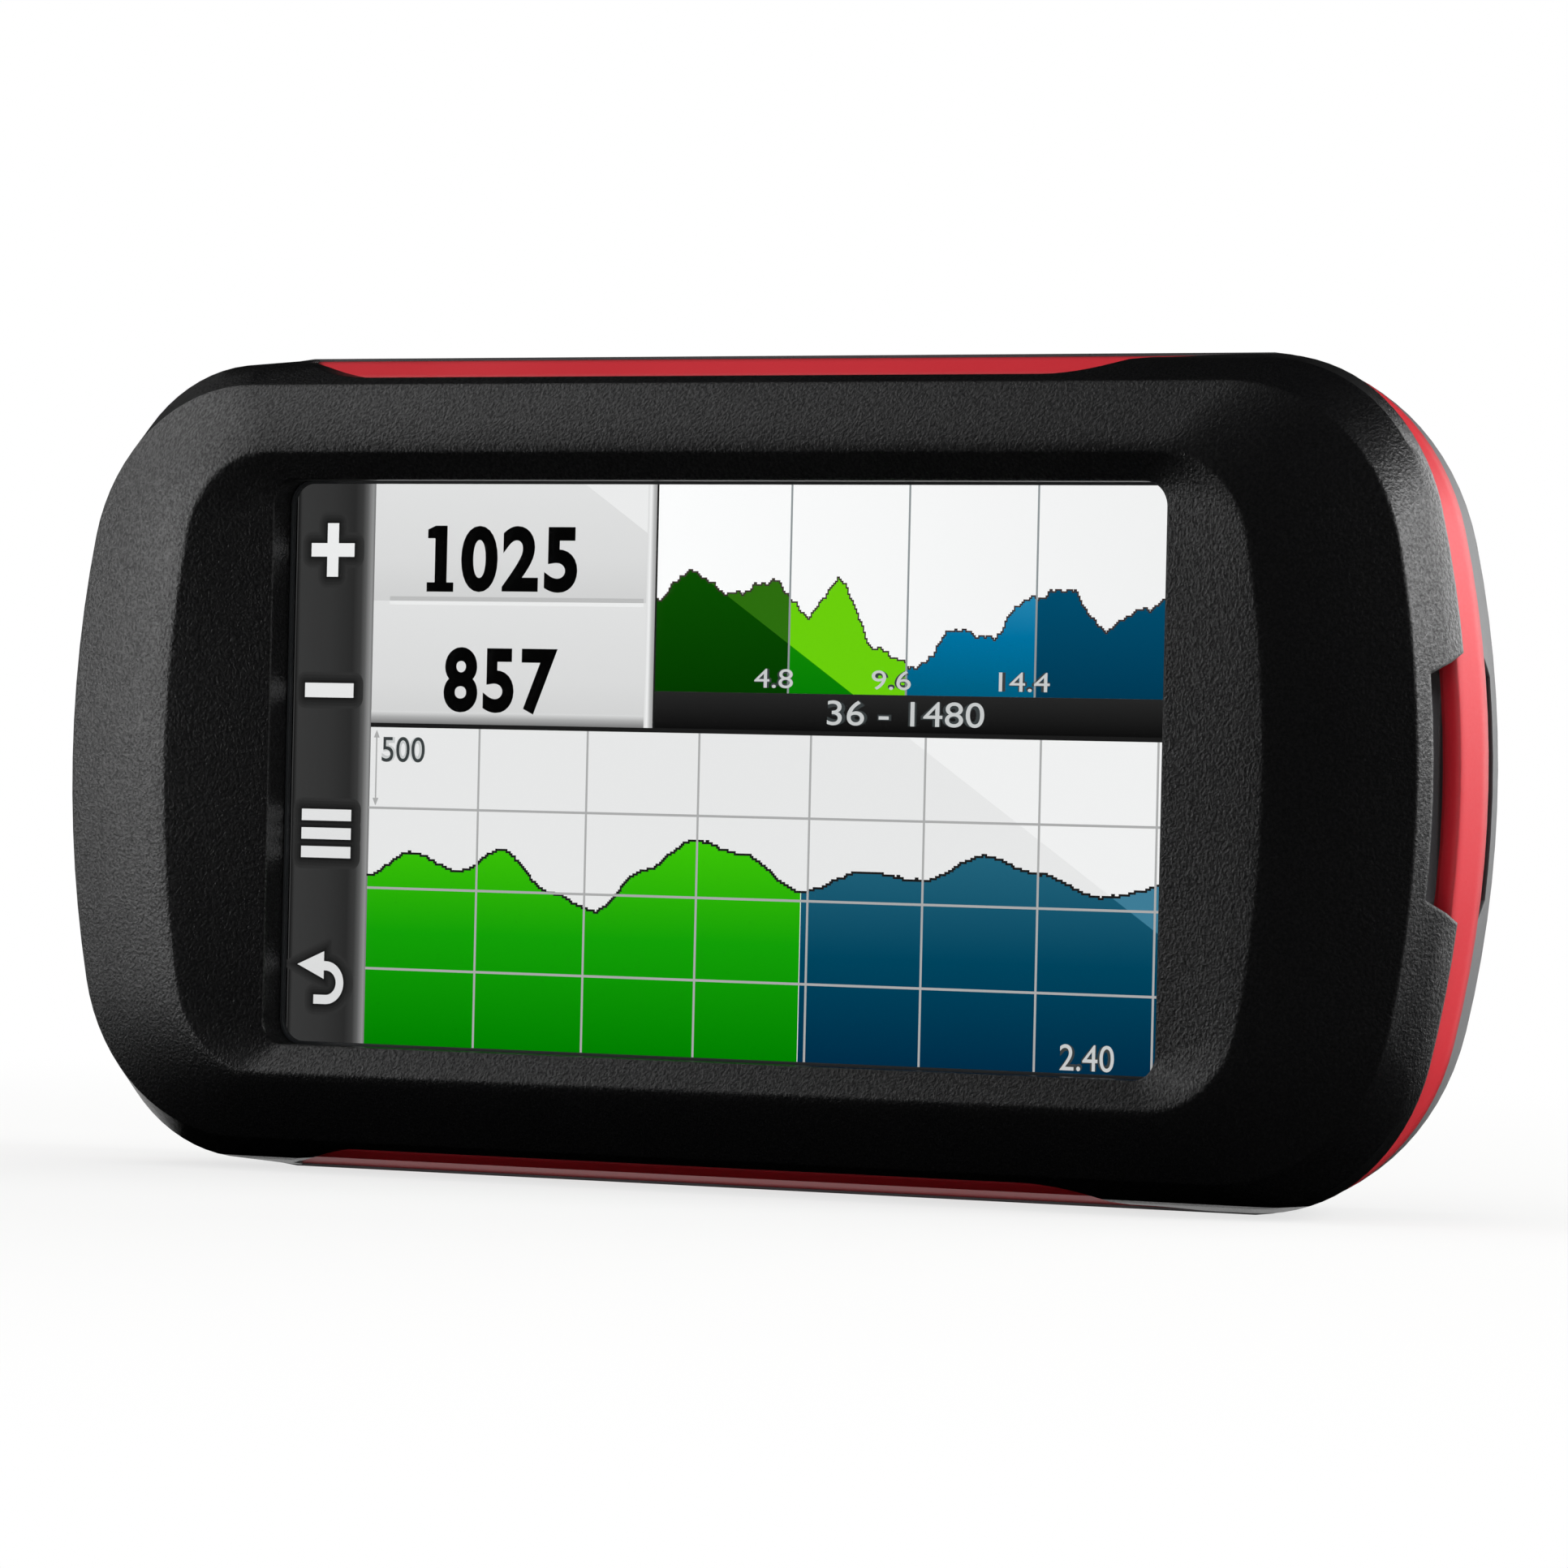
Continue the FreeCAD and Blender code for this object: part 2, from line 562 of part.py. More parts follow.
def build_front_bezel():
    body = new_body("front_bezel")
    rear = outline_at(body, "band_rear", "half_length - bumper_step", "half_height - bumper_step",
                      "corner_round", "end_bow")
    bulge = outline_at(body, "bulge_forward", "half_length - bulge_inset_length",
                       "half_height - bulge_inset_height", "bulge_round", "bulge_bow")
    crease = outline_at(body, "crease_forward", "crease_half_length", "crease_half_height",
                        "crease_round", "crease_bow")
    loft(body, [rear, bulge, crease])
    cut_band_windows(body)
    cut_dips(body)

    # the face rises from the crease to the crest, the front-most line of the unit
    face = [outline_at(body, "crease_forward", "crease_half_length", "crease_half_height",
                       "crease_round", "crease_bow")]
    for inward, risen in FACE_CURVE:
        face.append(outline_at(
            body, f"crease_forward + {risen} * crease_sink",
            f"crease_half_length - {inward} * (crease_half_length - crest_half_length)",
            f"crease_half_height - {inward} * (crease_half_height - crest_half_height)",
            f"crease_round + {inward} * (crest_round - crease_round)",
            f"crease_bow + {inward} * (crest_bow - crease_bow)"))
    loft(body, face)

    gap_rear = outline_at(body, "band_rear", "half_length - bumper_step - bumper_skin",
                          "half_height - bumper_step - bumper_skin",
                          "corner_round - bumper_skin", "end_bow - bumper_skin")
    gap_front = outline_at(body, "band_front", "wall_half_length - bumper_skin",
                           "wall_half_height - bumper_skin", "corner_round - 1 - bumper_skin",
                           "end_bow + 3 - bumper_skin")
    loft(body, [gap_rear, gap_front], cut=True)
    pad(body, skirt_outline(body, "band_rear + seal_thick"), "band_front - band_rear - seal_thick + 1")

    # room for the electronics, then the window with its sloping surround
    pocket(body, cavity_outline(body, "band_rear"), "face_back - band_rear", along=True)
    slot_block(body, "band_rear + seal_thick", "face_back - band_rear - seal_thick")
    crest = outline_at(body, "half_depth", "crest_half_length - crest_land",
                       "crest_half_height - crest_land", "crest_round - crest_land",
                       "crest_bow - crest_land")
    window = rect_at(body, "window_forward", "2 * window_half_length", "2 * window_half_height",
                     "window_round")
    loft(body, [crest, window], cut=True)
    pocket(body, rect_at(body, "window_forward", "2 * window_half_length", "2 * window_half_height",
                         "window_round"), "window_forward - band_rear")
    pocket(body, rect_at(body, "ledge_forward", "2 * (window_half_length + glass_lap + glass_play)",
                         "2 * (window_half_height + glass_lap + glass_play)",
                         "window_round + glass_lap + glass_play"), "ledge_forward - band_rear")

    for across, along in four_corners():
        where = {"right": f"{across} * screw_along", "up": f"{along} * screw_up"}
        pad(body, circle_at(body, "band_rear", "boss_round", **where), "face_back - band_rear + 0.5")
        pocket(body, circle_at(body, "band_rear", "screw_core", **where),
               "screw_grip - band_rear - screw_seat_back + 0.6", along=True)
    cut_strap_slot(body)


# ---------------------------------------------------------------- side band and seals

def build_side_band():
    body = new_body("side_band")
    rear = outline_at(body, "band_rear", "half_length - band_step", "half_height - band_step",
                      "corner_round", "end_bow")
    front = outline_at(body, "band_front", "half_length - band_inset_length",
                       "half_height - band_inset_height", "corner_round - 1", "end_bow + 3")
    loft(body, [rear, front])
    cut_bumper_zones(body)

    # under the bumpers a thinner rim keeps the band in one piece
    skin = "(bumper_skin + band_play)"
    rim_rear = outline_at(body, "band_rear", f"half_length - bumper_step - {skin}",
                          f"half_height - bumper_step - {skin}", f"corner_round - {skin}",
                          f"end_bow - {skin}")
    rim_front = outline_at(body, "band_front", f"wall_half_length - {skin}",
                           f"wall_half_height - {skin}", f"corner_round - 1 - {skin}",
                           f"end_bow + 3 - {skin}")
    loft(body, [rim_rear, rim_front])
    pocket(body, skirt_outline(body, "band_front + 1"), "band_front - band_rear + 2")


def build_main_seal():
    """Elastomer ring between the bezel's wall and the rear housing, led inward round the strap slot."""
    body = new_body("main_seal")
    pad(body, skirt_outline(body, "band_rear"), "seal_thick")
    pocket(body, cavity_outline(body, "band_rear"), "seal_thick", along=True)
    slot_block(body, "band_rear", "seal_thick")
    cut_strap_slot(body)


# ---------------------------------------------------------------- display

def build_display():
    glass_length = "2 * (window_half_length + glass_lap)"
    glass_height = "2 * (window_half_height + glass_lap)"

    gasket = new_body("panel_gasket")
    pad(gasket, rect_at(gasket, "glass_front", glass_length, glass_height, "window_round + glass_lap"),
        "gasket_thick")
    pocket(gasket, rect_at(gasket, "glass_front", "2 * (window_half_length - gasket_show)",
                           "2 * (window_half_height - gasket_show)", "window_round - gasket_show"),
           "gasket_thick", along=True)

    glass = new_body("touch_panel")
    pad(glass, rect_at(glass, "glass_front", glass_length, glass_height, "window_round + glass_lap"),
        "glass_thick", backward=True)

    cell = new_body("display_cell")
    pad(cell, rect_at(cell, "cell_front", "2 * cell_half_length", "2 * cell_half_height", "0.6"),
        "cell_thick", backward=True)

    light = new_body("backlight")
    pad(light, rect_at(light, "cell_front - cell_thick", "2 * cell_half_length",
                       "2 * cell_half_height", "0.6"), "backlight_thick", backward=True)

    # a pressed tray that carries the stack and stands it off the board
    tray = new_body("display_frame")
    outer = "glass_play + frame_sheet"
    pad(tray, rect_at(tray, "frame_back - frame_sheet", f"2 * (cell_half_length + {outer})",
                      f"2 * (cell_half_height + {outer})", "1.2"),
        "cell_front + bond_gap - frame_back + frame_sheet")
    pocket(tray, rect_at(tray, "frame_back", "2 * (cell_half_length + glass_play)",
                         "2 * (cell_half_height + glass_play)", "0.8"),
           "cell_thick + backlight_thick + 1", along=True)
    for across, along in four_corners():
        pad(tray, circle_at(tray, "board_front", "standoff_round", right=f"{across} * standoff_along",
                            up=f"{along} * standoff_up"), "frame_back - frame_sheet - board_front")


# ---------------------------------------------------------------- electronics

def build_board():
    body = new_body("main_board")
    sketch = rect_at(body, "board_front", "board_high_end - board_low_end", "2 * board_half_height",
                     "board_round", right="(board_high_end + board_low_end) / 2")
    pad(body, sketch, "board_thick", backward=True)
    for across, along in four_corners():
        hole = circle_at(body, "board_front", "boss_round + board_play", right=f"{across} * screw_along",
                         up=f"{along} * screw_up")
        pocket(body, hole, "board_thick + 1")


def on_board_front(label, along, up, wide, tall, thick):
    return box(label, (along, f"0 - board_front - ({thick}) / 2", level(up)), (wide, thick, tall))


def on_board_rear(label, along, up, wide, tall, thick):
    return box(label, (along, f"0 - board_rear + ({thick}) / 2", level(up)), (wide, thick, tall))


def build_electronics():
    chips = [on_board_front("processor_chip", "-8", "4", "14", "14", "1.2"),
             on_board_front("memory_chip", "12", "6", "11", "9", "1.0"),
             on_board_front("power_chip", "-28", "-8", "7", "7", "0.9"),
             on_board_front("display_connector", "20", "-12", "18", "3.4", "1.5")]
    node(group("board_chips", chips))

    shield_height = "(battery_height - 2 * shield_inset)"
    can = on_board_rear("shield_block", "shield_along", "4", "shield_long", shield_height, "shield_tall")
    room = box("shield_room", ("shield_along", "(shield_tall - shield_sheet) / 2 - board_rear", level("4")),
               ("shield_long - 2 * shield_sheet", "shield_tall - shield_sheet",
                f"{shield_height} - 2 * shield_sheet"))
    node(cut("rf_shield", can, room))

    patch = "board_low_end + patch_wide / 2 + 4"
    node(on_board_rear("satellite_antenna", patch, "camera_up", "patch_wide", "patch_wide",
                       "patch_thick"))
    node(rod("beeper", (f"{patch} - 1", "0 - board_rear", level("camera_up + 18")), "beeper_round",
             "beeper_tall"))

    cage_wide = "card_wide + 3"
    cage = on_board_rear("card_cage_block", "card_along", "camera_up - 2", cage_wide, "card_long",
                         "card_cage")
    channel = box("card_channel", ("card_along", "card_cage / 2 + 0.1 - board_rear",
                                   level("camera_up - 1")),
                  ("card_wide + 0.4", "card_thick + 0.2", "card_long + 1"))
    node(cut("card_socket", cage, channel))
    node(box("memory_card", ("card_along", "card_cage / 2 + 0.1 - board_rear",
                             level("camera_up - 0.6")), ("card_wide", "card_thick", "card_long")))


def build_sockets():
    top = "half_height - socket_top"
    usb = box("usb_shell", ("usb_along", "usb_centre", f"half_height + {top} - 3.6"),
              ("usb_wide", "usb_deep", "7.2"))
    mouth = box("usb_mouth", ("usb_along", "usb_centre", f"half_height + {top} - 2.4"),
                ("usb_wide - 1", "usb_deep - 0.9", "5"))
    node(cut("usb_socket", usb, mouth))

    reach = "jack_deep + 1"
    block = box("jack_block", ("audio_along", "jack_centre",
                               f"half_height + half_height - 5.3 - ({reach} - 2.3) / 2"),
                ("jack_body + 0.4", "jack_body", f"{reach} - 2.3"))
    nose = rod("jack_nose_rod", ("audio_along", "jack_centre",
                                 "half_height + half_height - 5.3"), "jack_nose", "2.3", axis="Z")
    bore = rod("jack_hole", ("audio_along", "jack_centre",
                             f"half_height + {top} - jack_deep"), "jack_bore", "jack_deep + 1",
               axis="Z")
    node(cut("audio_socket", fuse("jack_solid", block, nose), bore))

    base = "rear_face - socket_top"
    barrel = rod("coax_barrel", ("coax_along", f"{base} - 7", level("coax_up")), "coax_body", "7")
    collar = rod("coax_collar", ("coax_along", "rear_wall_back - 1.2", level("coax_up")),
                 "coax_body + 1.2", "1.2")
    socket = rod("coax_hole", ("coax_along", f"{base} - 4", level("coax_up")), "coax_bore", "5")
    node(cut("antenna_socket", fuse("coax_solid", barrel, collar), socket))


def build_camera():
    module = box("camera_case", ("camera_along", "rear_wall_back - camera_deep / 2",
                                 level("camera_up")), ("camera_body", "camera_deep", "camera_body"))
    barrel = rod("camera_barrel", ("camera_along", "rear_wall_back", level("camera_up")),
                 "camera_bore - 0.1", "1.5")
    node(fuse("camera_module", module, barrel))

    pane_back = "rear_face - 0.3 - camera_pane_thick"
    node(rod("camera_window", ("camera_along", pane_back, level("camera_up")), "camera_pane",
             "camera_pane_thick"))
    rim = rod("camera_ring_disc", ("camera_along", pane_back, level("camera_up")), "camera_rim",
              "camera_pane_thick + 0.5")
    hole = rod("camera_ring_hole", ("camera_along", f"{pane_back} - 1", level("camera_up")),
               "camera_pane", "camera_pane_thick + 3")
    node(cut("camera_ring", rim, hole))


def build_contacts():
    pads = []
    for step in range(4):
        pads.append(rod(f"mount_contact_{step + 1}",
                        ("pad_along", "rear_wall_back - 0.8", level(f"({step} - 1.5) * pad_pitch")),
                        "pad_round", "rear_face - rear_wall_back + 0.9"))
    node(group("mount_contacts", pads))

    blades = []
    bay_end = "(bay_centre + bay_length / 2)"
    for step in (-1, 0, 1):
        blades.append(box(f"battery_blade_{step + 2}",
                          (f"{bay_end} - (contact_room + bay_play) / 2", "bay_floor_back + 4.2",
                           level(f"{step} * 5")), ("contact_room + bay_play", "7", "1.6")))
    node(group("battery_contacts", blades))


def build_battery():
    body = new_body("battery_pack")
    pad(body, rect_at(body, "0 - bay_floor_back", "battery_length", "battery_height", "3",
                      right="battery_centre"), "battery_thick", backward=True)


# ---------------------------------------------------------------- rear housing

def cut_cap_recess(body, along, wide, hole_wide, hole_deep, hole_centre, corner):
    """A shallow bed for a weather cap in the top side, and the port's way through the wall."""
    bed_length = "cap_front + cap_back + 2 * cap_play + 0.05"
    bed = new_sketch(body, "XY", right=along, up="cap_middle + 0.025", out="half_height")
    add_round_rect(bed, f"{wide} + 2 * cap_play", bed_length, "0.4")
    pocket(body, bed, "cap_thick + cap_gap")
    hole = new_sketch(body, "XY", right=along, up=hole_centre, out="half_height")
    add_round_rect(hole, hole_wide, hole_deep, corner)
    pocket(body, hole, "skirt_inset_height + skirt_wall + 1")


def build_rear_housing():
    body = new_body("rear_housing")
    flat = value("(band_rear + flank_back) / (band_rear + rear_face)")

    def section(share):
        """The outline at a share of the depth: ends draw in all the way, sides only past the flat."""
        rounding = max(0.0, (share - flat) / (1 - flat))
        end_in = 1 - (1 - share) ** 0.7
        side_in = 1 - math.sqrt(1 - rounding ** 2)
        return outline_at(
            body, f"band_rear - {share:.4f} * (band_rear + rear_face)",
            f"half_length - rear_step - {end_in:.4f} * (rear_inset_length - rear_step)",
            f"half_height + flat_skim - {side_in:.4f} * rear_inset_height",
            f"corner_round + 3 * rear_step - {side_in:.4f} * (corner_round - rear_round)",
            "end_bow")

    loft(body, [section(share) for share in FLANK_STEPS + [flat]])
    loft(body, [section(flat)] + [section(flat + step * (1 - flat)) for step in TAIL_STEPS])
    # skimming the long sides leaves them truly flat, so that the unit stands on either
    for side in (1, -1):
        skim = new_sketch(body, "XY", out=f"{side} * half_height")
        add_round_rect(skim, "body_length + 4", "body_depth + 4", "2")
        pocket(body, skim, "4 * flat_skim", along=side > 0)

    # inside: a tapering room, with the battery bay, bosses and latch well standing in it
    mouth = cavity_outline(body, "band_rear")
    waist = outline_at(body, "0 - flank_back", "half_length - waist_inset_length",
                       "half_height - skirt_inset_height - skirt_wall",
                       "corner_round - skirt_inset_height - skirt_wall", "end_bow")
    deep = outline_at(body, "0 - rear_wall_back", "half_length - cavity_inset_length",
                      "half_height - cavity_inset_height", "rear_round - skirt_wall",
                      "end_bow - skirt_wall")
    loft(body, [mouth, waist, deep], cut=True)
    slot_block(body, "slot_back - bay_wall", "band_rear - slot_back + bay_wall")
    bay = rect_at(body, "bay_floor_thick - bay_floor_back", "bay_length + 2 * bay_wall",
                  "bay_height + 2 * bay_wall", "4", right="bay_centre")
    pad(body, bay, "rear_wall_back + bay_floor_thick - bay_floor_back + 0.5", backward=True)
    well = circle_at(body, "latch_wall - latch_floor", "latch_well + latch_wall",
                     right="latch_along")
    pad(body, well, "rear_wall_back - latch_floor + latch_wall + 0.5", backward=True)
    for across, along in four_corners():
        where = {"right": f"{across} * screw_along", "up": f"{along} * screw_up"}
        pad(body, circle_at(body, "band_rear", "boss_round", **where), "band_rear + rear_wall_back",
            backward=True)
        pocket(body, circle_at(body, "0 - half_depth", "screw_sink", **where),
               "half_depth - screw_seat_back", along=True)
        pocket(body, circle_at(body, "0 - screw_seat_back - 1", "screw_core + 0.1", **where),
               "band_rear + screw_seat_back + 2", along=True)
    for across, along in four_corners():
        post = circle_at(body, "board_rear", "standoff_round + 0.2",
                         right=f"battery_centre + {across} * (battery_length / 2 - post_in)",
                         up=f"{along} * (battery_height / 2 - post_in - 0.5)")
        pad(body, post, "board_rear - bay_floor_thick + bay_floor_back + 0.2", backward=True)

    # battery bay, door bed and the latch's keyhole and chamber
    door_bed = rect_at(body, "0 - rear_face", "door_length + 2 * door_play",
                       "door_height + 2 * door_play", "door_round + door_play", right="door_centre")
    pocket(body, door_bed, "door_thick", along=True)
    pocket(body, rect_at(body, "0 - rear_face", "bay_length", "bay_height", "3.2", right="bay_centre"),
           "rear_face - bay_floor_back", along=True)
    pocket(body, rect_at(body, "0 - rear_face", "card_wide + 4", "card_long + 9", "1",
                         right="card_along", up="camera_up"), "rear_face + bay_floor_thick",
           along=True)
    pocket(body, circle_at(body, "0 - rear_face", "latch_well", right="latch_along"),
           "rear_face - well_back", along=True)
    pocket(body, circle_at(body, "0 - well_back", "latch_post + 0.5", right="latch_along"),
           "ledge_thick + 0.5", along=True)
    pocket(body, rect_at(body, "0 - well_back", "lug_width + 1", "lug_length + 1", "1",
                         right="latch_along"), "ledge_thick + 0.5", along=True)
    ring = new_sketch(body, "XY", right="latch_along")
    add_profile(ring, [("0", "latch_floor"), ("chamber_round", "latch_floor"),
                       ("chamber_round", "latch_ledge"), ("0", "latch_ledge")])
    chamber = body.newObject("PartDesign::Groove", "latch_chamber")
    chamber.Profile = ring
    chamber.ReferenceAxis = (ring, ["V_Axis"])
    chamber.Angle = 360

    # ports in the top side and the rear, each under a weather cap
    cut_cap_recess(body, "usb_along", "usb_cap_wide", "usb_wide + 1", "usb_deep + 1",
                   "usb_centre", "1.2")
    nose = "2 * (jack_nose + 0.4)"
    cut_cap_recess(body, "audio_along", "audio_cap_wide", nose, nose, "jack_centre",
                   "jack_nose + 0.35")
    coax_bed = rect_at(body, "0 - rear_face", "audio_cap_wide + 2 * cap_play",
                       "cap_front + cap_back + 2 * cap_play + 0.05", "0.4", right="coax_along",
                       up="coax_up + cap_middle + 0.025")
    pocket(body, coax_bed, "cap_thick + cap_gap", along=True)
    pocket(body, circle_at(body, "0 - rear_face", "coax_body + 0.05", right="coax_along",
                           up="coax_up"), "rear_face - rear_wall_back + 1", along=True)

    # power button: a dished bed and a slot for its stem
    for long, wide, deep in (("key_long + 4", "key_wide + 3.2", "key_dish"),
                             ("key_long + 2 * key_play", "key_wide + 2 * key_play",
                              "skirt_inset_height + skirt_wall + 1")):
        key = new_sketch(body, "XY", right="key_along", out="half_height")
        add_round_rect(key, long, wide, f"({wide}) / 2 - 0.05")
        pocket(body, key, deep)

    # camera and contact pads
    where = {"right": "camera_along", "up": "camera_up"}
    pocket(body, circle_at(body, "0 - rear_face", "camera_rim", **where),
           "camera_pane_thick + 0.3", along=True)
    pocket(body, circle_at(body, "0 - rear_face", "camera_bore", **where),
           "rear_face - rear_wall_back + 1", along=True)
    for step in range(4):
        hole = circle_at(body, "0 - rear_face", "pad_round", right="pad_along",
                         up=f"({step} - 1.5) * pad_pitch")
        pocket(body, hole, "rear_face - rear_wall_back + 1", along=True)
    cut_strap_slot(body)


# ---------------------------------------------------------------- battery door and latch

def build_battery_door():
    body = new_body("battery_door")
    pad(body, rect_at(body, "0 - rear_face", "door_length", "door_height", "door_round",
                      right="door_centre"), "door_thick")
    # the latch's seat stands into the well
    boss = circle_at(body, "0 - rear_face + door_thick", "latch_boss", right="latch_along")
    pad(body, boss, "latch_boss_tall")
    # mounting spine with an undercut along each side
    pad(body, rect_at(body, "0 - rear_face", "spine_length", "spine_neck", "2",
                      right="spine_centre"), "spine_neck_tall", backward=True)
    pad(body, rect_at(body, "0 - rear_face - spine_neck_tall", "spine_length", "spine_head", "2",
                      right="spine_centre"), "door_thick - spine_neck_tall", backward=True)
    pocket(body, circle_at(body, "0 - rear_face", "latch_flange + latch_gap", right="latch_along"),
           "latch_sink", along=True)
    pocket(body, circle_at(body, "0 - rear_face", "latch_post + latch_play", right="latch_along"),
           "door_thick + latch_boss_tall + 1", along=True)
    # groove for the door seal
    groove = rect_at(body, "0 - rear_face + door_thick", "bay_length + 2 * (seal_margin + seal_width)",
                     "bay_height + 2 * (seal_margin + seal_width)", "5.5", right="bay_centre")
    add_round_rect(groove, "bay_length + 2 * seal_margin", "bay_height + 2 * seal_margin", "4.3")
    pocket(body, groove, "seal_height")

    seal = new_body("door_seal")
    ring = rect_at(seal, "0 - rear_face + door_thick",
                   "bay_length + 2 * (seal_margin + seal_width)",
                   "bay_height + 2 * (seal_margin + seal_width)", "5.5", right="bay_centre")
    add_round_rect(ring, "bay_length + 2 * seal_margin", "bay_height + 2 * seal_margin", "4.3")
    pad(seal, ring, "seal_height", backward=True)


def build_latch():
    """Quarter-turn latch: a barrel with two lugs, turned by a folding D-ring on a pin."""
    barrel = new_body("latch_barrel")
    pad(barrel, circle_at(barrel, "0 - flange_top", "latch_flange", right="latch_along"),
        "latch_flange_thick")
    pad(barrel, circle_at(barrel, "0 - flange_seat", "latch_post", right="latch_along"),
        "flange_seat - latch_floor - lug_play")
    pad(barrel, rect_at(barrel, "lug_play - latch_ledge", "lug_width", "lug_length", "0.8",
                        right="latch_along"), "lug_thick")
    pad(barrel, rect_at(barrel, "0 - flange_top", "hub_width", "hub_length", "0.6", right="latch_along"),
        "ring_wire + 0.3", backward=True)
    hole = new_sketch(barrel, "XY", right="latch_along", up="pin_back")
    add_circle(hole, "pin_core")
    pocket(barrel, hole, "hub_length + 2", both=True)
    neck = circle_at(barrel, "0 - rear_face + door_thick + latch_boss_tall + 0.05",
                     "latch_post + 1", right="latch_along")
    add_circle(neck, "clip_neck")
    pocket(barrel, neck, "clip_thick + 0.1", along=True)

    ring = new_body("latch_ring")
    bow = new_sketch(ring, "XZ", right="latch_along", out="0 - pin_back - ring_wire / 2")
    outer, inner = "ring_outer", "(ring_outer - ring_wire)"
    for radius, start in ((outer, 0), (inner, 2)):
        full = Part.Circle(Vector(0, 0), Vector(0, 0, 1), value(radius))
        bow.addGeometry(Part.ArcOfCircle(full, -math.pi / 2, math.pi / 2))
        bow.addConstraint(Sketcher.Constraint("Coincident", start, 3, -1, 1))
        add_limit(bow, radius, "Radius", start)
        line_ends = [(value(outer), value(inner)), (-value(inner), -value(outer))][start // 2]
        bow.addGeometry(Part.LineSegment(Vector(0, line_ends[0]), Vector(0, line_ends[1])))
    for line in (1, 3):
        bow.addConstraint(Sketcher.Constraint("Vertical", line))
    bow.addConstraint(Sketcher.Constraint("Coincident", 0, 2, 1, 1))
    bow.addConstraint(Sketcher.Constraint("Coincident", 1, 2, 2, 2))
    bow.addConstraint(Sketcher.Constraint("Coincident", 2, 1, 3, 1))
    bow.addConstraint(Sketcher.Constraint("Coincident", 3, 2, 0, 1))
    bow.addConstraint(Sketcher.Constraint("PointOnObject", 0, 2, -2))
    bow.addConstraint(Sketcher.Constraint("PointOnObject", 0, 1, -2))
    pad(ring, bow, "ring_wire")
    for side in (-1, 1):
        eye = new_sketch(ring, "XY", right="latch_along", up="pin_back",
                         out=f"{side} * (ring_outer - ring_eye_long / 2 - 0.1)")
        add_circle(eye, "ring_eye")
        pad(ring, eye, "ring_eye_long", both=True)
    through = new_sketch(ring, "XY", right="latch_along", up="pin_back")
    add_circle(through, "pin_core + pin_play")
    pocket(ring, through, "2 * ring_outer + 4", both=True)

    node(rod("latch_pin", ("latch_along", "pin_back", level("0 - ring_outer")), "pin_core",
             "2 * ring_outer", axis="Z"))
    clip_back = "rear_face - door_thick - latch_boss_tall - 0.1 - clip_thick"
    disc = rod("clip_disc", ("latch_along", clip_back, level("0")), "clip_outer", "clip_thick")
    eye = rod("clip_eye", ("latch_along", f"{clip_back} - 1", level("0")), "clip_neck",
              "clip_thick + 2")
    gap = box("clip_gap", ("latch_along", f"{clip_back} + clip_thick / 2", level("clip_outer")),
              ("1.6 * clip_neck", "clip_thick + 2", "2 * clip_outer - 0.8"))
    node(cut("latch_clip", disc, fuse("clip_opening", eye, gap)))


# ---------------------------------------------------------------- caps, button and screws

def build_cap(label, wide, plug_wide, plug_deep, plug_centre, plug_corner):
    """Weather cap drawn lying flat at the origin: outside up, hinge barrel towards +Y."""
    body = new_body(label)
    hinge = "(cap_back - cap_thick / 2)"
    side = new_sketch(body, "YZ")
    add_profile(side, [("0 - cap_front", "0 - cap_thick"), (hinge, "0 - cap_thick"), (hinge, "0"),
                       ("0 - cap_front", "0")], {1: (hinge, 1)})
    pad(body, side, wide, both=True)
    plug = new_sketch(body, "XY", up=plug_centre, out="0 - cap_thick")
    add_round_rect(plug, plug_wide, plug_deep, plug_corner)
    pad(body, plug, "cap_plug_deep", backward=True)
    return body


def build_caps():
    usb = build_cap("usb_cap", "usb_cap_wide", "usb_wide - 0.4", "usb_deep - 0.5",
                    "usb_centre", "0.8")
    audio = build_cap("audio_cap", "audio_cap_wide", "4.6", "4.6", "jack_centre", "2.2")
    coax = build_cap("antenna_cap", "audio_cap_wide", "4.2", "4.2", "0", "2.0")
    for cap, along in ((usb, "usb_along"), (audio, "audio_along")):
        drive(cap, "Placement.Base.x", along)
        drive(cap, "Placement.Base.z", "body_height")
    coax.Placement = Placement(Vector(), Rotation(Vector(0, 1, 1), 180))
    drive(coax, "Placement.Base.x", "coax_along")
    drive(coax, "Placement.Base.y", "rear_face")
    drive(coax, "Placement.Base.z", level("coax_up"))


def build_power_button():
    body = new_body("power_button")
    stem = new_sketch(body, "XY", right="key_along", out="half_height - key_sink")
    add_round_rect(stem, "key_long", "key_wide", "key_wide / 2 - 0.05")
    pad(body, stem, "key_inner - key_sink", backward=True)
    flange = new_sketch(body, "XY", right="key_along", out="half_height - key_inner")
    add_round_rect(flange, "key_long + 2", "key_wide + 2", "key_wide / 2 + 0.9")
    pad(body, flange, "key_flange", backward=True)

    tip = "(half_height - key_inner - key_flange - key_travel - 0.05)"
    case = on_board_rear("switch_case", "key_along", f"{tip} - 0.7 - 1.7", "6", "3.4", "3")
    plunger = on_board_rear("switch_plunger", "key_along", f"{tip} - 0.35", "2.4", "0.7", "2.4")
    node(fuse("power_switch", case, plunger))


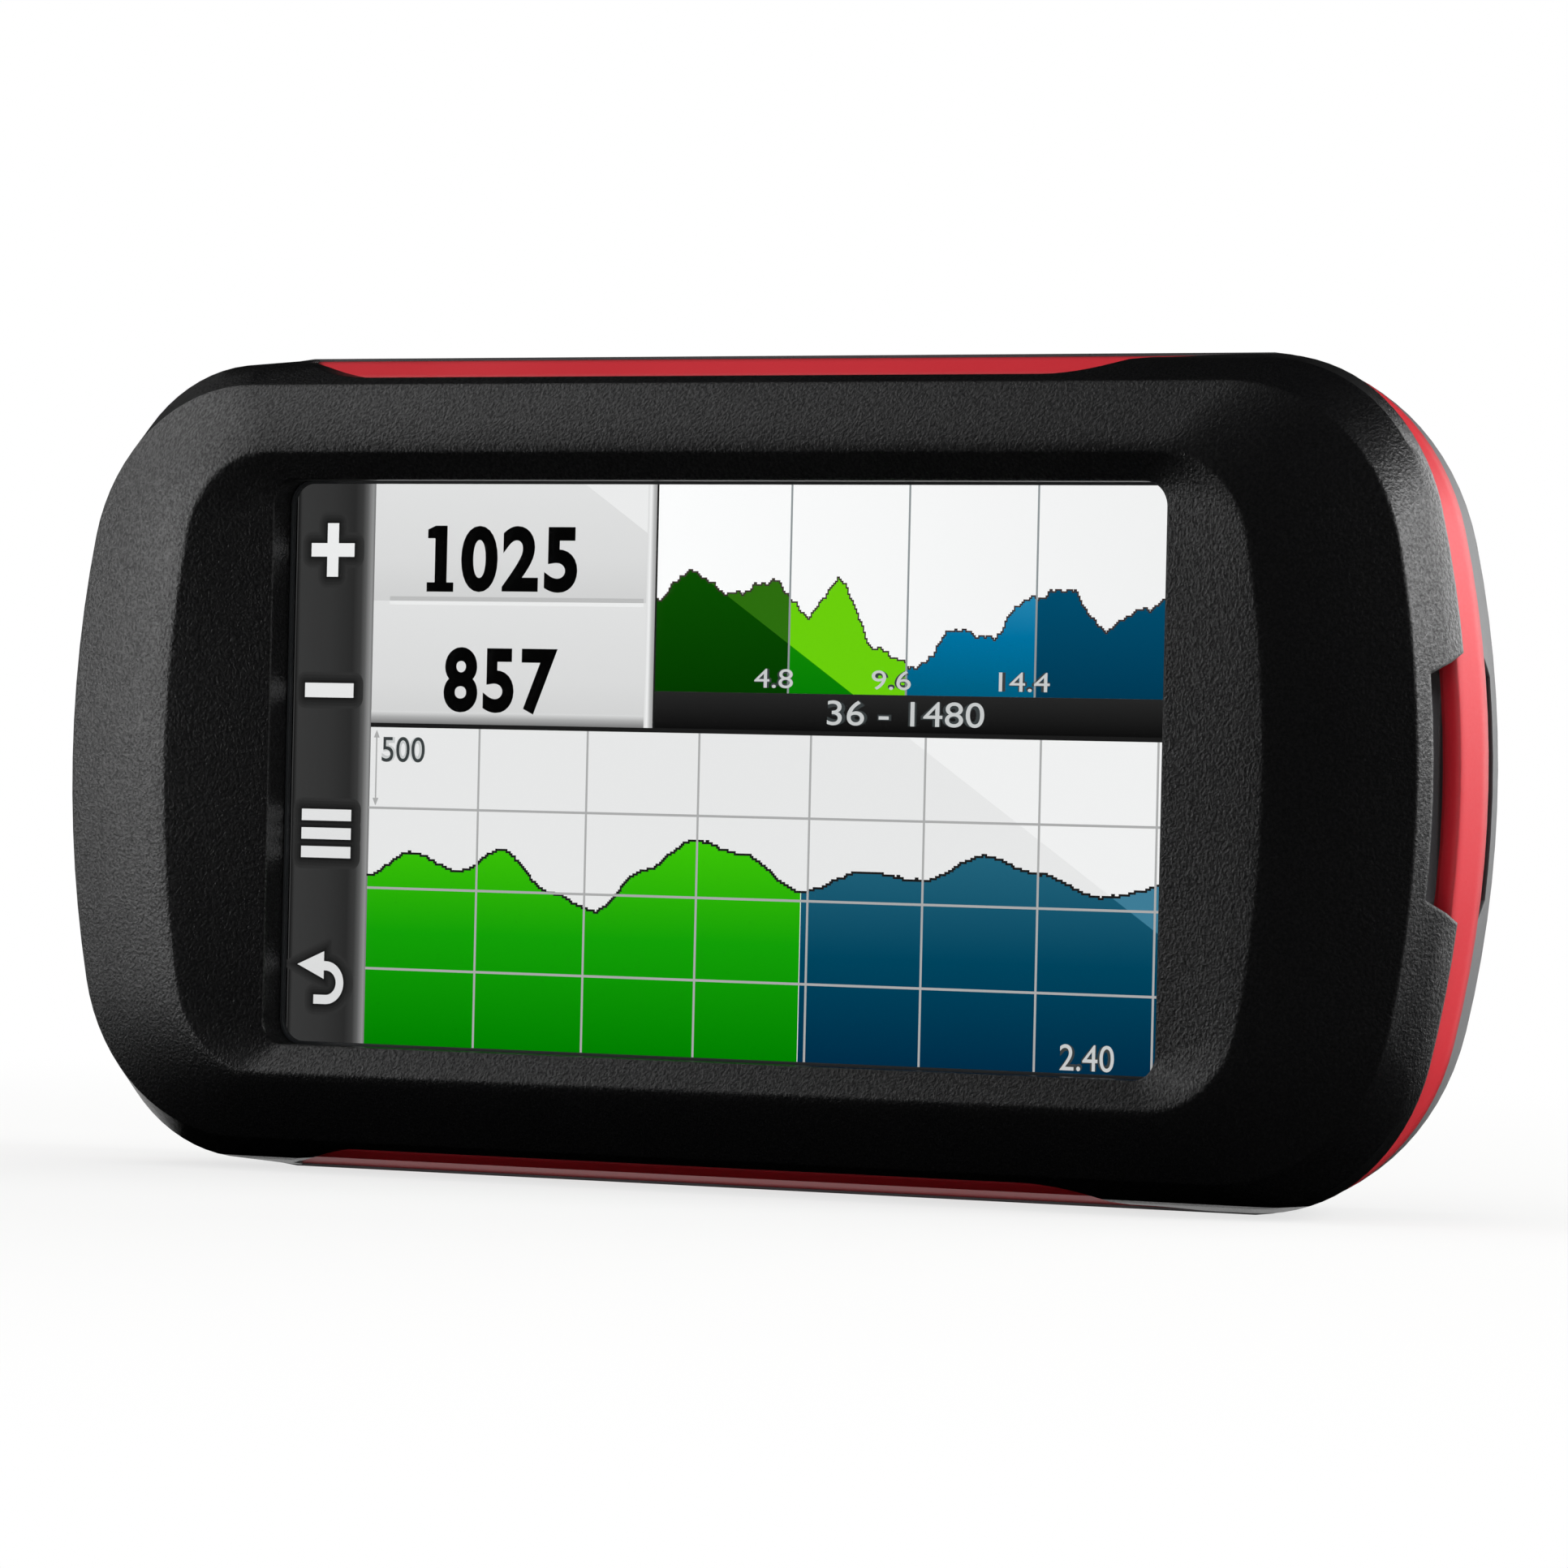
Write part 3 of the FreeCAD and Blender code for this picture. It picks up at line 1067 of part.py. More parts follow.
def build_screws():
    screws = []
    for count, (across, along) in enumerate(four_corners(), start=1):
        x, z = f"{across} * screw_along", level(f"{along} * screw_up")
        shank = rod(f"screw_shank_{count}", (x, "screw_seat_back - screw_grip", z), "screw_core",
                    "screw_grip")
        head = rod(f"screw_top_{count}", (x, "screw_seat_back", z), "screw_head", "screw_head_tall")
        screws.append(fuse(f"housing_screw_{count}", shank, head))
    node(group("housing_screws", screws))


# ---------------------------------------------------------------- build, check and write

def build_all():
    for build in (build_front_bezel, build_side_band, build_main_seal, build_display, build_board,
                  build_electronics, build_sockets, build_camera, build_contacts, build_battery,
                  build_rear_housing, build_battery_door, build_latch, build_caps,
                  build_power_button, build_screws):
        build()
        DOC.recompute()


def check_all():
    for thing in DOC.Objects:
        if {"Invalid", "Error"} & set(thing.State):
            raise RuntimeError(f"{thing.Label} failed: {thing.State}")
    for piece in NODES:
        if piece.Shape.isNull() or not piece.Shape.isValid() or not piece.Shape.Solids:
            raise RuntimeError(f"{piece.Label} has no sound solid")


build_all()
check_all()
os.makedirs("parts", exist_ok=True)
for piece in NODES:
    piece.Shape.exportStep(f"parts/{piece.Label}.step")
    print(f"{piece.Label}: {len(piece.Shape.Solids)} solid(s), {piece.Shape.Volume:.1f} mm3")
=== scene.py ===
"""Finishes, screen picture and studio for the handheld gps unit.

The solids come from the frame. This script gives every solid its material, draws the
picture that the display shows, and sets up the floor, lamps and camera.
"""

import math

import bpy
from bpy.props import FloatProperty, FloatVectorProperty, PointerProperty
from mathutils import Matrix, Vector


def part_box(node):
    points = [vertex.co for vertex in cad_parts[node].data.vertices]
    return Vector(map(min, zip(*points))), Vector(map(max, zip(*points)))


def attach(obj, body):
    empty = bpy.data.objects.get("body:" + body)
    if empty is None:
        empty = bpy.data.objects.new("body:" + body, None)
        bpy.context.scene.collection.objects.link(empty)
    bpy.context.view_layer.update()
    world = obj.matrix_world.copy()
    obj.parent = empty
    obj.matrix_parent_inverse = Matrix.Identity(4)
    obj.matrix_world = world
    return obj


bl_info = {
    "name": "Handheld GPS unit",
    "version": (1, 0, 0),
    "blender": (4, 5, 0),
    "location": "3D View > Sidebar > GPS unit",
    "description": "Finishes, screen picture and studio for a handheld gps unit",
    "category": "Object",
}

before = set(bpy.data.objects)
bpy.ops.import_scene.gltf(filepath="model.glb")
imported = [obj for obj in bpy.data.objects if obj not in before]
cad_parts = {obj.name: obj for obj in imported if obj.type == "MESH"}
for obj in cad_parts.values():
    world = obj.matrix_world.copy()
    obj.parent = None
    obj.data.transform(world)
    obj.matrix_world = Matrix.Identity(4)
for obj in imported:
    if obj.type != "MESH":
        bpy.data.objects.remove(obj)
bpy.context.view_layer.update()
MM = 0.001


def linear(code):
    """Linear colour from an sRGB hex value."""
    parts = [int(code[i:i + 2], 16) / 255 for i in (0, 2, 4)]
    return tuple(c / 12.92 if c <= 0.04045 else ((c + 0.055) / 1.055) ** 2.4 for c in parts)


def toned(colour, times):
    """A colour made deeper or paler, up to white."""
    return [min(1, c * times) for c in colour]


# ------------------------------------------------------------------ what a user may change

class GPSUNIT_PG_case(bpy.types.PropertyGroup):
    """Colours and grain of the case."""

    bezel: FloatVectorProperty(
        name="Bezel", description="Soft-touch lacquer on the front bezel",
        subtype="COLOR", size=3, min=0, max=1, default=linear("080809"))
    band: FloatVectorProperty(
        name="Side band", description="Dyed plastic of the band round the side",
        subtype="COLOR", size=3, min=0, max=1, default=linear("C6222E"))
    housing: FloatVectorProperty(
        name="Rear housing", description="Dyed plastic of the rear housing and battery door",
        subtype="COLOR", size=3, min=0, max=1, default=linear("3A3B3D"))
    rubber: FloatVectorProperty(
        name="Rubber", description="Weather caps, power button and seals",
        subtype="COLOR", size=3, min=0, max=1, default=linear("1B1B1C"))
    grain: FloatProperty(
        name="Mould grain", description="Spacing of the fine grain on the moulded plastic",
        subtype="DISTANCE", unit="LENGTH", min=0.00005, max=0.002, default=0.3 * MM)
    edge: FloatProperty(
        name="Edge rounding", description="Radius that moulded edges show",
        subtype="DISTANCE", unit="LENGTH", min=0, max=0.001, default=0.4 * MM)


class GPSUNIT_PG_screen(bpy.types.PropertyGroup):
    """Colours and sizes of the picture on the display."""

    bar: FloatVectorProperty(
        name="Tool bar", description="Dark bar that holds the touch keys",
        subtype="COLOR", size=3, min=0, max=1, default=linear("383838"))
    tile: FloatVectorProperty(
        name="Number tiles", description="Ground behind the two large numbers",
        subtype="COLOR", size=3, min=0, max=1, default=linear("DCDCDC"))
    paper: FloatVectorProperty(
        name="Chart paper", description="Ground of the charts",
        subtype="COLOR", size=3, min=0, max=1, default=linear("E9E9E9"))
    near: FloatVectorProperty(
        name="Green ground", description="Ground already covered, at its upper edge",
        subtype="COLOR", size=3, min=0, max=1, default=linear("3CC407"))
    far: FloatVectorProperty(
        name="Blue ground", description="Ground still ahead, at its upper edge",
        subtype="COLOR", size=3, min=0, max=1, default=linear("2C8DB6"))
    dot: FloatProperty(
        name="Dot pitch", description="Distance between the dots of the display",
        subtype="DISTANCE", unit="LENGTH", min=0.00005, max=0.001, default=0.186 * MM)
    glow: FloatProperty(
        name="Glow", description="Brightness of the picture",
        subtype="FACTOR", min=0, max=2, default=1.1)


class GPSUNIT_PG_studio(bpy.types.PropertyGroup):
    """Camera and lamps."""

    turn: FloatProperty(
        name="Camera turn", description="Angle round the unit, from straight in front",
        subtype="ANGLE", unit="ROTATION", default=math.radians(31.184))
    rise: FloatProperty(
        name="Camera rise", description="Angle above the horizon",
        subtype="ANGLE", unit="ROTATION", default=math.radians(0.066))
    roll: FloatProperty(
        name="Camera roll", description="Tilt of the picture",
        subtype="ANGLE", unit="ROTATION", default=math.radians(1.28))
    distance: FloatProperty(
        name="Camera distance", description="From the unit's middle to the lens",
        subtype="DISTANCE", unit="LENGTH", min=0.1, default=777.2 * MM)
    lens: FloatProperty(
        name="Lens", description="Focal length on a 36 mm sensor, in millimetres",
        min=10, default=197.606)
    lamps: FloatProperty(
        name="Lamp level", description="Multiplies every lamp",
        subtype="FACTOR", min=0, max=4, default=1.0)
    floor: FloatVectorProperty(
        name="Floor", description="Pale paper that the unit stands on",
        subtype="COLOR", size=3, min=0, max=1, default=linear("E6E6E4"))


# ------------------------------------------------------------------ materials

# Edges of neighbouring CAD faces nearer than this are joined, and bends sharper than this
# stay sharp.
WELD = 0.002 * MM
CREASE = math.radians(27)
# Rays that the shading of rounded edges sends out.
EDGE_RAYS = 4
# Handling and the flow of the plastic leave patches about this far across.
PATCH = 15 * MM
# The grain's noise keeps to these values, from its pits to its peaks.
PIT, PEAK = 0.36, 0.64
# The specular level at which a surface shines as its IOR alone says.
PLAIN_SHINE = 0.5
# How far metal is smoother and rougher than its mean along its marks, and its edge radius.
SMOOTHER, ROUGHER = 0.07, 0.1
METAL_EDGE = 0.1 * MM
# Patches that a wiping finger leaves on glass, about this far across.
WIPE = 9 * MM


def add(tree, kind, settings=None, links=None):
    """Add one node, give its sockets or properties their settings, and link its inputs."""
    node = tree.nodes.new(kind)
    for key, setting in (settings or {}).items():
        if isinstance(key, int) or key in node.inputs:
            node.inputs[key].default_value = setting
        else:
            setattr(node, key, setting)
    for key, source in (links or {}).items():
        tree.links.new(source, node.inputs[key])
    return node


def new_finish(name, shader, colour):
    """A material with one surface shader; returns the material, its tree and the shader."""
    material = bpy.data.materials.new(name)
    material.diffuse_color = (*colour, 1)
    material.use_nodes = True
    tree = material.node_tree
    tree.nodes.clear()
    surface = add(tree, "ShaderNodeBsdfPrincipled", {**shader, "Base Color": (*colour, 1)})
    add(tree, "ShaderNodeOutputMaterial", None, {"Surface": surface.outputs["BSDF"]})
    return material, tree, surface


def moulded(name, colour, shader, grain, depth, edge, spread=0.08, cloud=0.06, fleck=0.03):
    """Moulded plastic or rubber: etched grain, rounded edges and a slightly uneven gloss.

    grain is the spacing and depth the height of the etched texture, edge the radius of the
    corners, spread how far the roughness wanders, cloud how far the colour does, and fleck
    how much the shine differs between the peaks and the pits.
    """
    material, tree, surface = new_finish(name, shader, colour)
    where = add(tree, "ShaderNodeTexCoord").outputs["Object"]
    pits = add(tree, "ShaderNodeTexNoise",
               {"Scale": 1 / grain, "Detail": 3.0, "Roughness": 0.6}, {"Vector": where})
    corner = add(tree, "ShaderNodeBevel", {"samples": EDGE_RAYS, "Radius": edge})
    bump = add(tree, "ShaderNodeBump", {"Strength": 1.0, "Distance": depth},
               {"Height": pits.outputs["Fac"], "Normal": corner.outputs["Normal"]})
    tree.links.new(bump.outputs["Normal"], surface.inputs["Normal"])
    patch = add(tree, "ShaderNodeTexNoise", {"Scale": 1 / PATCH, "Detail": 2.0},
                {"Vector": where})
    rough = shader["Roughness"]
    gloss = add(tree, "ShaderNodeMapRange",
                {"To Min": rough - spread, "To Max": rough + spread},
                {"Value": patch.outputs["Fac"]})
    tree.links.new(gloss.outputs["Result"], surface.inputs["Roughness"])
    # the pits of the grain hold the light, so they shine less than its peaks
    speckle = add(tree, "ShaderNodeMapRange",
                  {"From Min": PIT, "From Max": PEAK, "To Min": PLAIN_SHINE - fleck,
                   "To Max": PLAIN_SHINE + fleck}, {"Value": pits.outputs["Fac"]})
    tree.links.new(speckle.outputs["Result"], surface.inputs["Specular IOR Level"])
    tone = add(tree, "ShaderNodeValToRGB", None, {"Fac": patch.outputs["Fac"]})
    tone.color_ramp.elements[0].color = (*toned(colour, 1 - cloud), 1)
    tone.color_ramp.elements[1].color = (*toned(colour, 1 + cloud), 1)
    tree.links.new(tone.outputs["Color"], surface.inputs["Base Color"])
    return material


def turned_metal(name, code, rough, line, depth, along=(1, 1, 1)):
    """Metal with fine machining or rolling marks.

    line is the spacing of the marks, depth their height, and along stretches them.
    """
    colour = linear(code)
    material, tree, surface = new_finish(name, {"Metallic": 1.0, "Roughness": rough}, colour)
    where = add(tree, "ShaderNodeTexCoord").outputs["Object"]
    stretch = add(tree, "ShaderNodeMapping", {"Scale": along}, {"Vector": where})
    marks = add(tree, "ShaderNodeTexNoise",
                {"Scale": 1 / line, "Detail": 4.0, "Roughness": 0.7},
                {"Vector": stretch.outputs["Vector"]})
    corner = add(tree, "ShaderNodeBevel", {"samples": EDGE_RAYS, "Radius": METAL_EDGE})
    bump = add(tree, "ShaderNodeBump", {"Strength": 1.0, "Distance": depth},
               {"Height": marks.outputs["Fac"], "Normal": corner.outputs["Normal"]})
    tree.links.new(bump.outputs["Normal"], surface.inputs["Normal"])
    gloss = add(tree, "ShaderNodeMapRange",
                {"To Min": rough - SMOOTHER, "To Max": rough + ROUGHER},
                {"Value": marks.outputs["Fac"]})
    tree.links.new(gloss.outputs["Result"], surface.inputs["Roughness"])
    return material


def soft_shading():
    """Modifier group that joins the edges of CAD faces and shades gentle bends smoothly."""
    name = "soft_shading"
    if name in bpy.data.node_groups:
        return bpy.data.node_groups[name]
    tree = bpy.data.node_groups.new(name, "GeometryNodeTree")
    tree.interface.new_socket("Geometry", in_out="INPUT", socket_type="NodeSocketGeometry")
    tree.interface.new_socket("Geometry", in_out="OUTPUT", socket_type="NodeSocketGeometry")
    solid = add(tree, "NodeGroupInput")
    joined = add(tree, "GeometryNodeMergeByDistance", {"Distance": WELD},
                 {"Geometry": solid.outputs["Geometry"]})
    bend = add(tree, "GeometryNodeInputMeshEdgeAngle")
    sharp = add(tree, "FunctionNodeCompare", {"operation": "GREATER_THAN", 1: CREASE},
                {0: bend.outputs["Unsigned Angle"]})
    shaded = add(tree, "GeometryNodeSetMeshNormal", {"mode": "SHARPNESS", "Remove Custom": True},
                 {"Mesh": joined.outputs["Geometry"], "Edge Sharpness": sharp.outputs["Result"]})
    add(tree, "NodeGroupOutput", None, {"Geometry": shaded.outputs["Mesh"]})
    return tree


def finish_nodes(material, *names):
    """Give CAD nodes their material and smooth shading; their shapes stay as they are."""
    for name in names:
        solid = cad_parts[name]
        solid.data.materials.clear()
        solid.data.materials.append(material)
        smooth = solid.modifiers.new("soft_shading", "NODES")
        smooth.node_group = soft_shading()
        even = solid.modifiers.new("even_flats", "WEIGHTED_NORMAL")
        even.keep_sharp = True


# ------------------------------------------------------------------ flat pieces of the picture

# Height of each layer over the display cell's face, in millimetres; the glass starts at 0.2.
LAYERS = {"ground": 0.03, "shade": 0.05, "chart": 0.07, "rule": 0.09, "back": 0.11, "mark": 0.13}

# Lines of the picture's layout, in millimetres right of and above the unit's middle.
BAR_LEFT, BAR_RIGHT = -46.6, -38.0
TILE_RIGHT, RIGHT, TOP, FOOT = -7.55, 46.6, 25.9, -25.9
TILE_SPLIT, STRIP_TOP, STRIP_LOW, CHART_TOP = 14.9, 7.05, 3.75, 3.35
# The upper end of the shading on the upper and the lower hills.
UPPER_CREST, LOWER_CREST = 17.5, -6.5
# The bumps of a logged track are two waves: radians per millimetre, share, first radian.
BUMPS = (2.9, 1.0, 0.0), (7.3, 0.7, 1.1)
# The slanting edge of the painted glare, a painted reflection of a soft light across the display,
# from end to end.
PAINTED_GLARE_EDGE = (-15.7, 25.75), (43.65, -12.81)


def screen_point(along, up, layer):
    """A point of the picture, from millimetres right of and above the unit's middle."""
    low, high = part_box("display_cell")
    return ((low.x + high.x) / 2 + along * MM, low.y - LAYERS[layer] * MM,
            (low.z + high.z) / 2 + up * MM)


def flat_piece(name, shapes, layer, material):
    """One flat piece of the picture from a list of outlines, each a list of (along, up)."""
    points, faces = [], []
    for shape in shapes:
        area = sum(a[0] * b[1] - b[0] * a[1] for a, b in zip(shape, shape[1:] + shape[:1]))
        ordered = shape if area > 0 else shape[::-1]
        faces.append(list(range(len(points), len(points) + len(ordered))))
        points += [screen_point(along, up, layer) for along, up in ordered]
    mesh = bpy.data.meshes.new(name)
    mesh.from_pydata(points, [], faces)
    mesh.materials.append(material)
    return seat(bpy.data.objects.new(name, mesh))


def seat(piece):
    """Link a picture piece and let it ride with the unit."""
    bpy.context.scene.collection.objects.link(piece)
    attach(piece, "unit")
    return piece


def rect(left, right, low, high):
    """Outline of a rectangle."""
    return [(left, low), (right, low), (right, high), (left, high)]


def grown(left, right, low, high, grow):
    """A rectangle let out by grow all round, with corners of that radius."""
    if not grow:
        return rect(left, right, low, high)
    corners = (right, high, 0), (left, high, 90), (left, low, 180), (right, low, 270)
    turns = [math.radians(degrees) for degrees in range(0, 91, 15)]
    return [(along + grow * math.cos(math.radians(start) + t),
             up + grow * math.sin(math.radians(start) + t))
            for along, up, start in corners for t in turns]


def half_ring(along, up, outer, inner, steps=24):
    """The right half of a flat ring."""
    turns = [math.radians(-90 + 180 * i / steps) for i in range(steps + 1)]
    rim = [(along + outer * math.cos(t), up + outer * math.sin(t)) for t in turns]
    hole = [(along + inner * math.cos(t), up + inner * math.sin(t)) for t in reversed(turns)]
    return rim + hole


def lit_dots(name, colour=(1, 1, 1)):
    """Lit display dots behind glass, which have a flat light and no gloss of their own.

    Returns the material, its tree and its shader.
    """
    return new_finish(name, {
        "Roughness": 0.6, "Specular IOR Level": 0.0, "Emission Color": (*colour, 1),
        "Emission Strength": bpy.context.scene.gpsunit_screen.glow}, linear("050505"))


def glow(name, code):
    """A material of lit dots of one colour."""
    return lit_dots(name, linear(code))[0]


def painted_glare_mask(tree, where):
    """1 for the part of the picture above the edge of the painted glare, 0 below it."""
    (left, high), (right, low) = PAINTED_GLARE_EDGE
    slant = Vector(((high - low) / (right - left), 0, 1))
    along = add(tree, "ShaderNodeVectorMath", {"operation": "DOT_PRODUCT", 1: slant}, {0: where})
    edge = slant.dot(Vector(screen_point(left, high, "ground")))
    return add(tree, "ShaderNodeMath", {"operation": "GREATER_THAN", 1: edge},
               {0: along.outputs["Value"]}).outputs[0]


def fade(name, stops, low, high, axis="Z", painted_glare=None):
    """Lit display dots that shade from one colour to the next between two places in mm.

    stops are (share of the way, colour or hex value) along axis from low to high. Above the
    slanting edge the paler colour given is painted in instead, a painted glare of a soft light.
    """
    material, tree, surface = lit_dots(name)
    where = add(tree, "ShaderNodeTexCoord").outputs["Object"]
    place = add(tree, "ShaderNodeSeparateXYZ", None, {"Vector": where}).outputs[axis]
    middle = screen_point(0, 0, "ground")["XYZ".index(axis)]
    share = add(tree, "ShaderNodeMapRange",
                {"From Min": middle + low * MM, "From Max": middle + high * MM}, {"Value": place})
    ramp = add(tree, "ShaderNodeValToRGB", None, {"Fac": share.outputs["Result"]})
    marks = ramp.color_ramp.elements
    while len(marks) < len(stops):
        marks.new(0.5)
    for mark, (at, colour) in zip(marks, stops):
        mark.position = at
        mark.color = (*(linear(colour) if isinstance(colour, str) else colour), 1)
    colour = ramp.outputs["Color"]
    # painted glare: above the slanting edge the picture takes the paler colour, a painted
    # reflection
    if painted_glare is not None:
        # sockets 6, 7 and output 2 are the ones that hold colours
        mixed = add(tree, "ShaderNodeMix", {"data_type": "RGBA", 7: (*linear(painted_glare), 1)},
                    {0: painted_glare_mask(tree, where), 6: colour})
        colour = mixed.outputs[2]
    tree.links.new(colour, surface.inputs["Emission Color"])
    return material


def terrain(along, hills):
    """Height of the ground line, which swings softly from one (along, up) to the next."""
    up = hills[0][1]
    for (a, low), (b, high) in zip(hills, hills[1:]):
        if a <= along <= b:
            share = (along - a) / (b - a)
            up = low + (high - low) * (3 - 2 * share) * share * share
    return up


def columns(left, right, foot, hills, ripple):
    """Upright strips that fill the ground under the hills, stepped by whole display dots.

    ripple is how far the small bumps of a logged track lift the line.
    """
    dot = bpy.context.scene.gpsunit_screen.dot / MM
    strips, start, last = [], left, None
    count = int(round((right - left) / dot))
    for i in range(count + 1):
        along = left + i * dot
        bumpy = ripple * sum(share * math.sin(along * turn + start_turn)
                             for turn, share, start_turn in BUMPS)
        up = round((terrain(along, hills) + bumpy) / dot) * dot
        if last is not None and (abs(up - last) > dot / 4 or i == count):
            strips.append(rect(start, min(along, right), foot, last))
            start = along
        last = up
    return strips


def ridge(strips, thick):
    """The dark line that follows the top of the strips."""
    line = []
    for strip in strips:
        left, right, top = strip[0][0], strip[1][0], strip[2][1]
        line.append(rect(left - thick / 2, right + thick / 2, top, top + thick))
    for one, two in zip(strips, strips[1:]):
        a, b, at = one[2][1], two[2][1], one[1][0]
        line.append(rect(at - thick / 2, at + thick / 2, min(a, b), max(a, b) + thick))
    return line


def number(name, text, box, layer, material, weight=0.0, space=1.0):
    """Plain numerals fitted into (left, right, low, high) on the picture.

    weight thickens their strokes and space spreads them.
    """
    left, right, low, high = box
    letters = bpy.data.curves.new(name, "FONT")
    letters.body = text
    letters.offset = weight
    letters.space_character = space
    letters.resolution_u = 6
    shaper = bpy.data.objects.new(name + "_shaper", letters)
    bpy.context.scene.collection.objects.link(shaper)
    graph = bpy.context.evaluated_depsgraph_get()
    mesh = bpy.data.meshes.new_from_object(shaper.evaluated_get(graph))
    bpy.data.objects.remove(shaper)
    xs = [v.co.x for v in mesh.vertices]
    ys = [v.co.y for v in mesh.vertices]
    for vertex in mesh.vertices:
        along = left + (vertex.co.x - min(xs)) / (max(xs) - min(xs)) * (right - left)
        up = low + (vertex.co.y - min(ys)) / (max(ys) - min(ys)) * (high - low)
        vertex.co = screen_point(along, up, layer)
    mesh.materials.clear()
    mesh.materials.append(material)
    return seat(bpy.data.objects.new(name, mesh))


# ------------------------------------------------------------------ operators: finishes

class GPSUNIT_OT_bezel(bpy.types.Operator):
    """Finish the front bezel."""

    bl_idname = "gpsunit.bezel"
    bl_label = "Front bezel"

    def execute(self, context):
        case = context.scene.gpsunit_case
        # soft-touch lacquer over moulded PC-ABS: near black, a broad dull sheen at glancing
        # angles, and a fine etched grain that breaks the sheen up; the real grain is about a
        # fifth of a millimetre, which wouldn't show, so it is drawn a little coarser
        lacquer = moulded("soft_touch_lacquer_pc_abs", case.bezel,
                          {"Roughness": 0.34, "IOR": 1.5}, grain=case.grain,
                          depth=0.075 * MM, edge=case.edge, spread=0.04, fleck=0.22)
        finish_nodes(lacquer, "front_bezel")
        return {"FINISHED"}


class GPSUNIT_OT_band(bpy.types.Operator):
    """Finish the side band."""

    bl_idname = "gpsunit.band"
    bl_label = "Side band"

    def execute(self, context):
        case = context.scene.gpsunit_case
        # dyed PC-ABS moulded in a satin tool: clear even colour with a tight soft highlight
        satin = moulded("satin_moulded_pc_abs", case.band,
                        {"Roughness": 0.4, "IOR": 1.55}, grain=case.grain,
                        depth=0.004 * MM, edge=3 * case.edge, spread=0.04, cloud=0.04)
        finish_nodes(satin, "side_band")
        return {"FINISHED"}


class GPSUNIT_OT_rear(bpy.types.Operator):
    """Finish the rear housing and the battery door."""

    bl_idname = "gpsunit.rear"
    bl_label = "Rear housing and door"

    def execute(self, context):
        case = context.scene.gpsunit_case
        # dyed PC-ABS moulded in a coarser spark-eroded tool: dark grey, dull, visibly grained
        eroded = moulded("spark_eroded_pc_abs", case.housing,
                         {"Roughness": 0.52, "IOR": 1.55}, grain=1.5 * case.grain,
                         depth=0.03 * MM, edge=case.edge)
        finish_nodes(eroded, "rear_housing", "battery_door")
        return {"FINISHED"}


class GPSUNIT_OT_rubber(bpy.types.Operator):
    """Finish the caps, the power button and the seals."""

    bl_idname = "gpsunit.rubber"
    bl_label = "Rubber parts"

    def execute(self, context):
        case = context.scene.gpsunit_case
        # moulded TPE: black with a grey bloom where fingers press, very dull, softly rounded
        tpe = moulded("moulded_tpe_rubber", case.rubber,
                      {"Roughness": 0.7, "IOR": 1.5, "Sheen Weight": 0.12,
                       "Sheen Roughness": 0.5},
                      grain=case.grain, depth=0.01 * MM, edge=0.35 * MM, cloud=0.12)
        finish_nodes(tpe, "usb_cap", "audio_cap", "antenna_cap", "power_button")
        # compression-moulded silicone for the seals: slightly shiny where it is squeezed
        silicone = moulded("moulded_silicone_seal", linear("222426"),
                           {"Roughness": 0.5, "IOR": 1.41}, grain=0.4 * MM,
                           depth=0.004 * MM, edge=0.15 * MM)
        finish_nodes(silicone, "main_seal", "panel_gasket", "door_seal")
        return {"FINISHED"}


class GPSUNIT_OT_glass(bpy.types.Operator):
    """Finish the cover glass and the camera window."""

    bl_idname = "gpsunit.glass"
    bl_label = "Glass parts"

    def execute(self, context):
        # polished aluminosilicate glass with a wipe-clean coat: clear, sharp faint reflections,
        # a little less sharp where fingers have wiped it
        for name, node, rough in (("polished_cover_glass", "touch_panel", 0.03),
                                  ("polished_lens_glass", "camera_window", 0.015)):
            material, tree, surface = new_finish(
                name, {"Roughness": rough, "IOR": 1.5, "Transmission Weight": 1.0},
                linear("FBFCFC"))
            where = add(tree, "ShaderNodeTexCoord").outputs["Object"]
            wiped = add(tree, "ShaderNodeTexNoise", {"Scale": 1 / WIPE, "Detail": 3.0},
                        {"Vector": where})
            haze = add(tree, "ShaderNodeMapRange",
                       {"From Min": 0.45, "From Max": 0.75, "To Min": rough * 0.5,
                        "To Max": rough * 1.5}, {"Value": wiped.outputs["Fac"]})
            tree.links.new(haze.outputs["Result"], surface.inputs["Roughness"])
            finish_nodes(material, node)
        return {"FINISHED"}


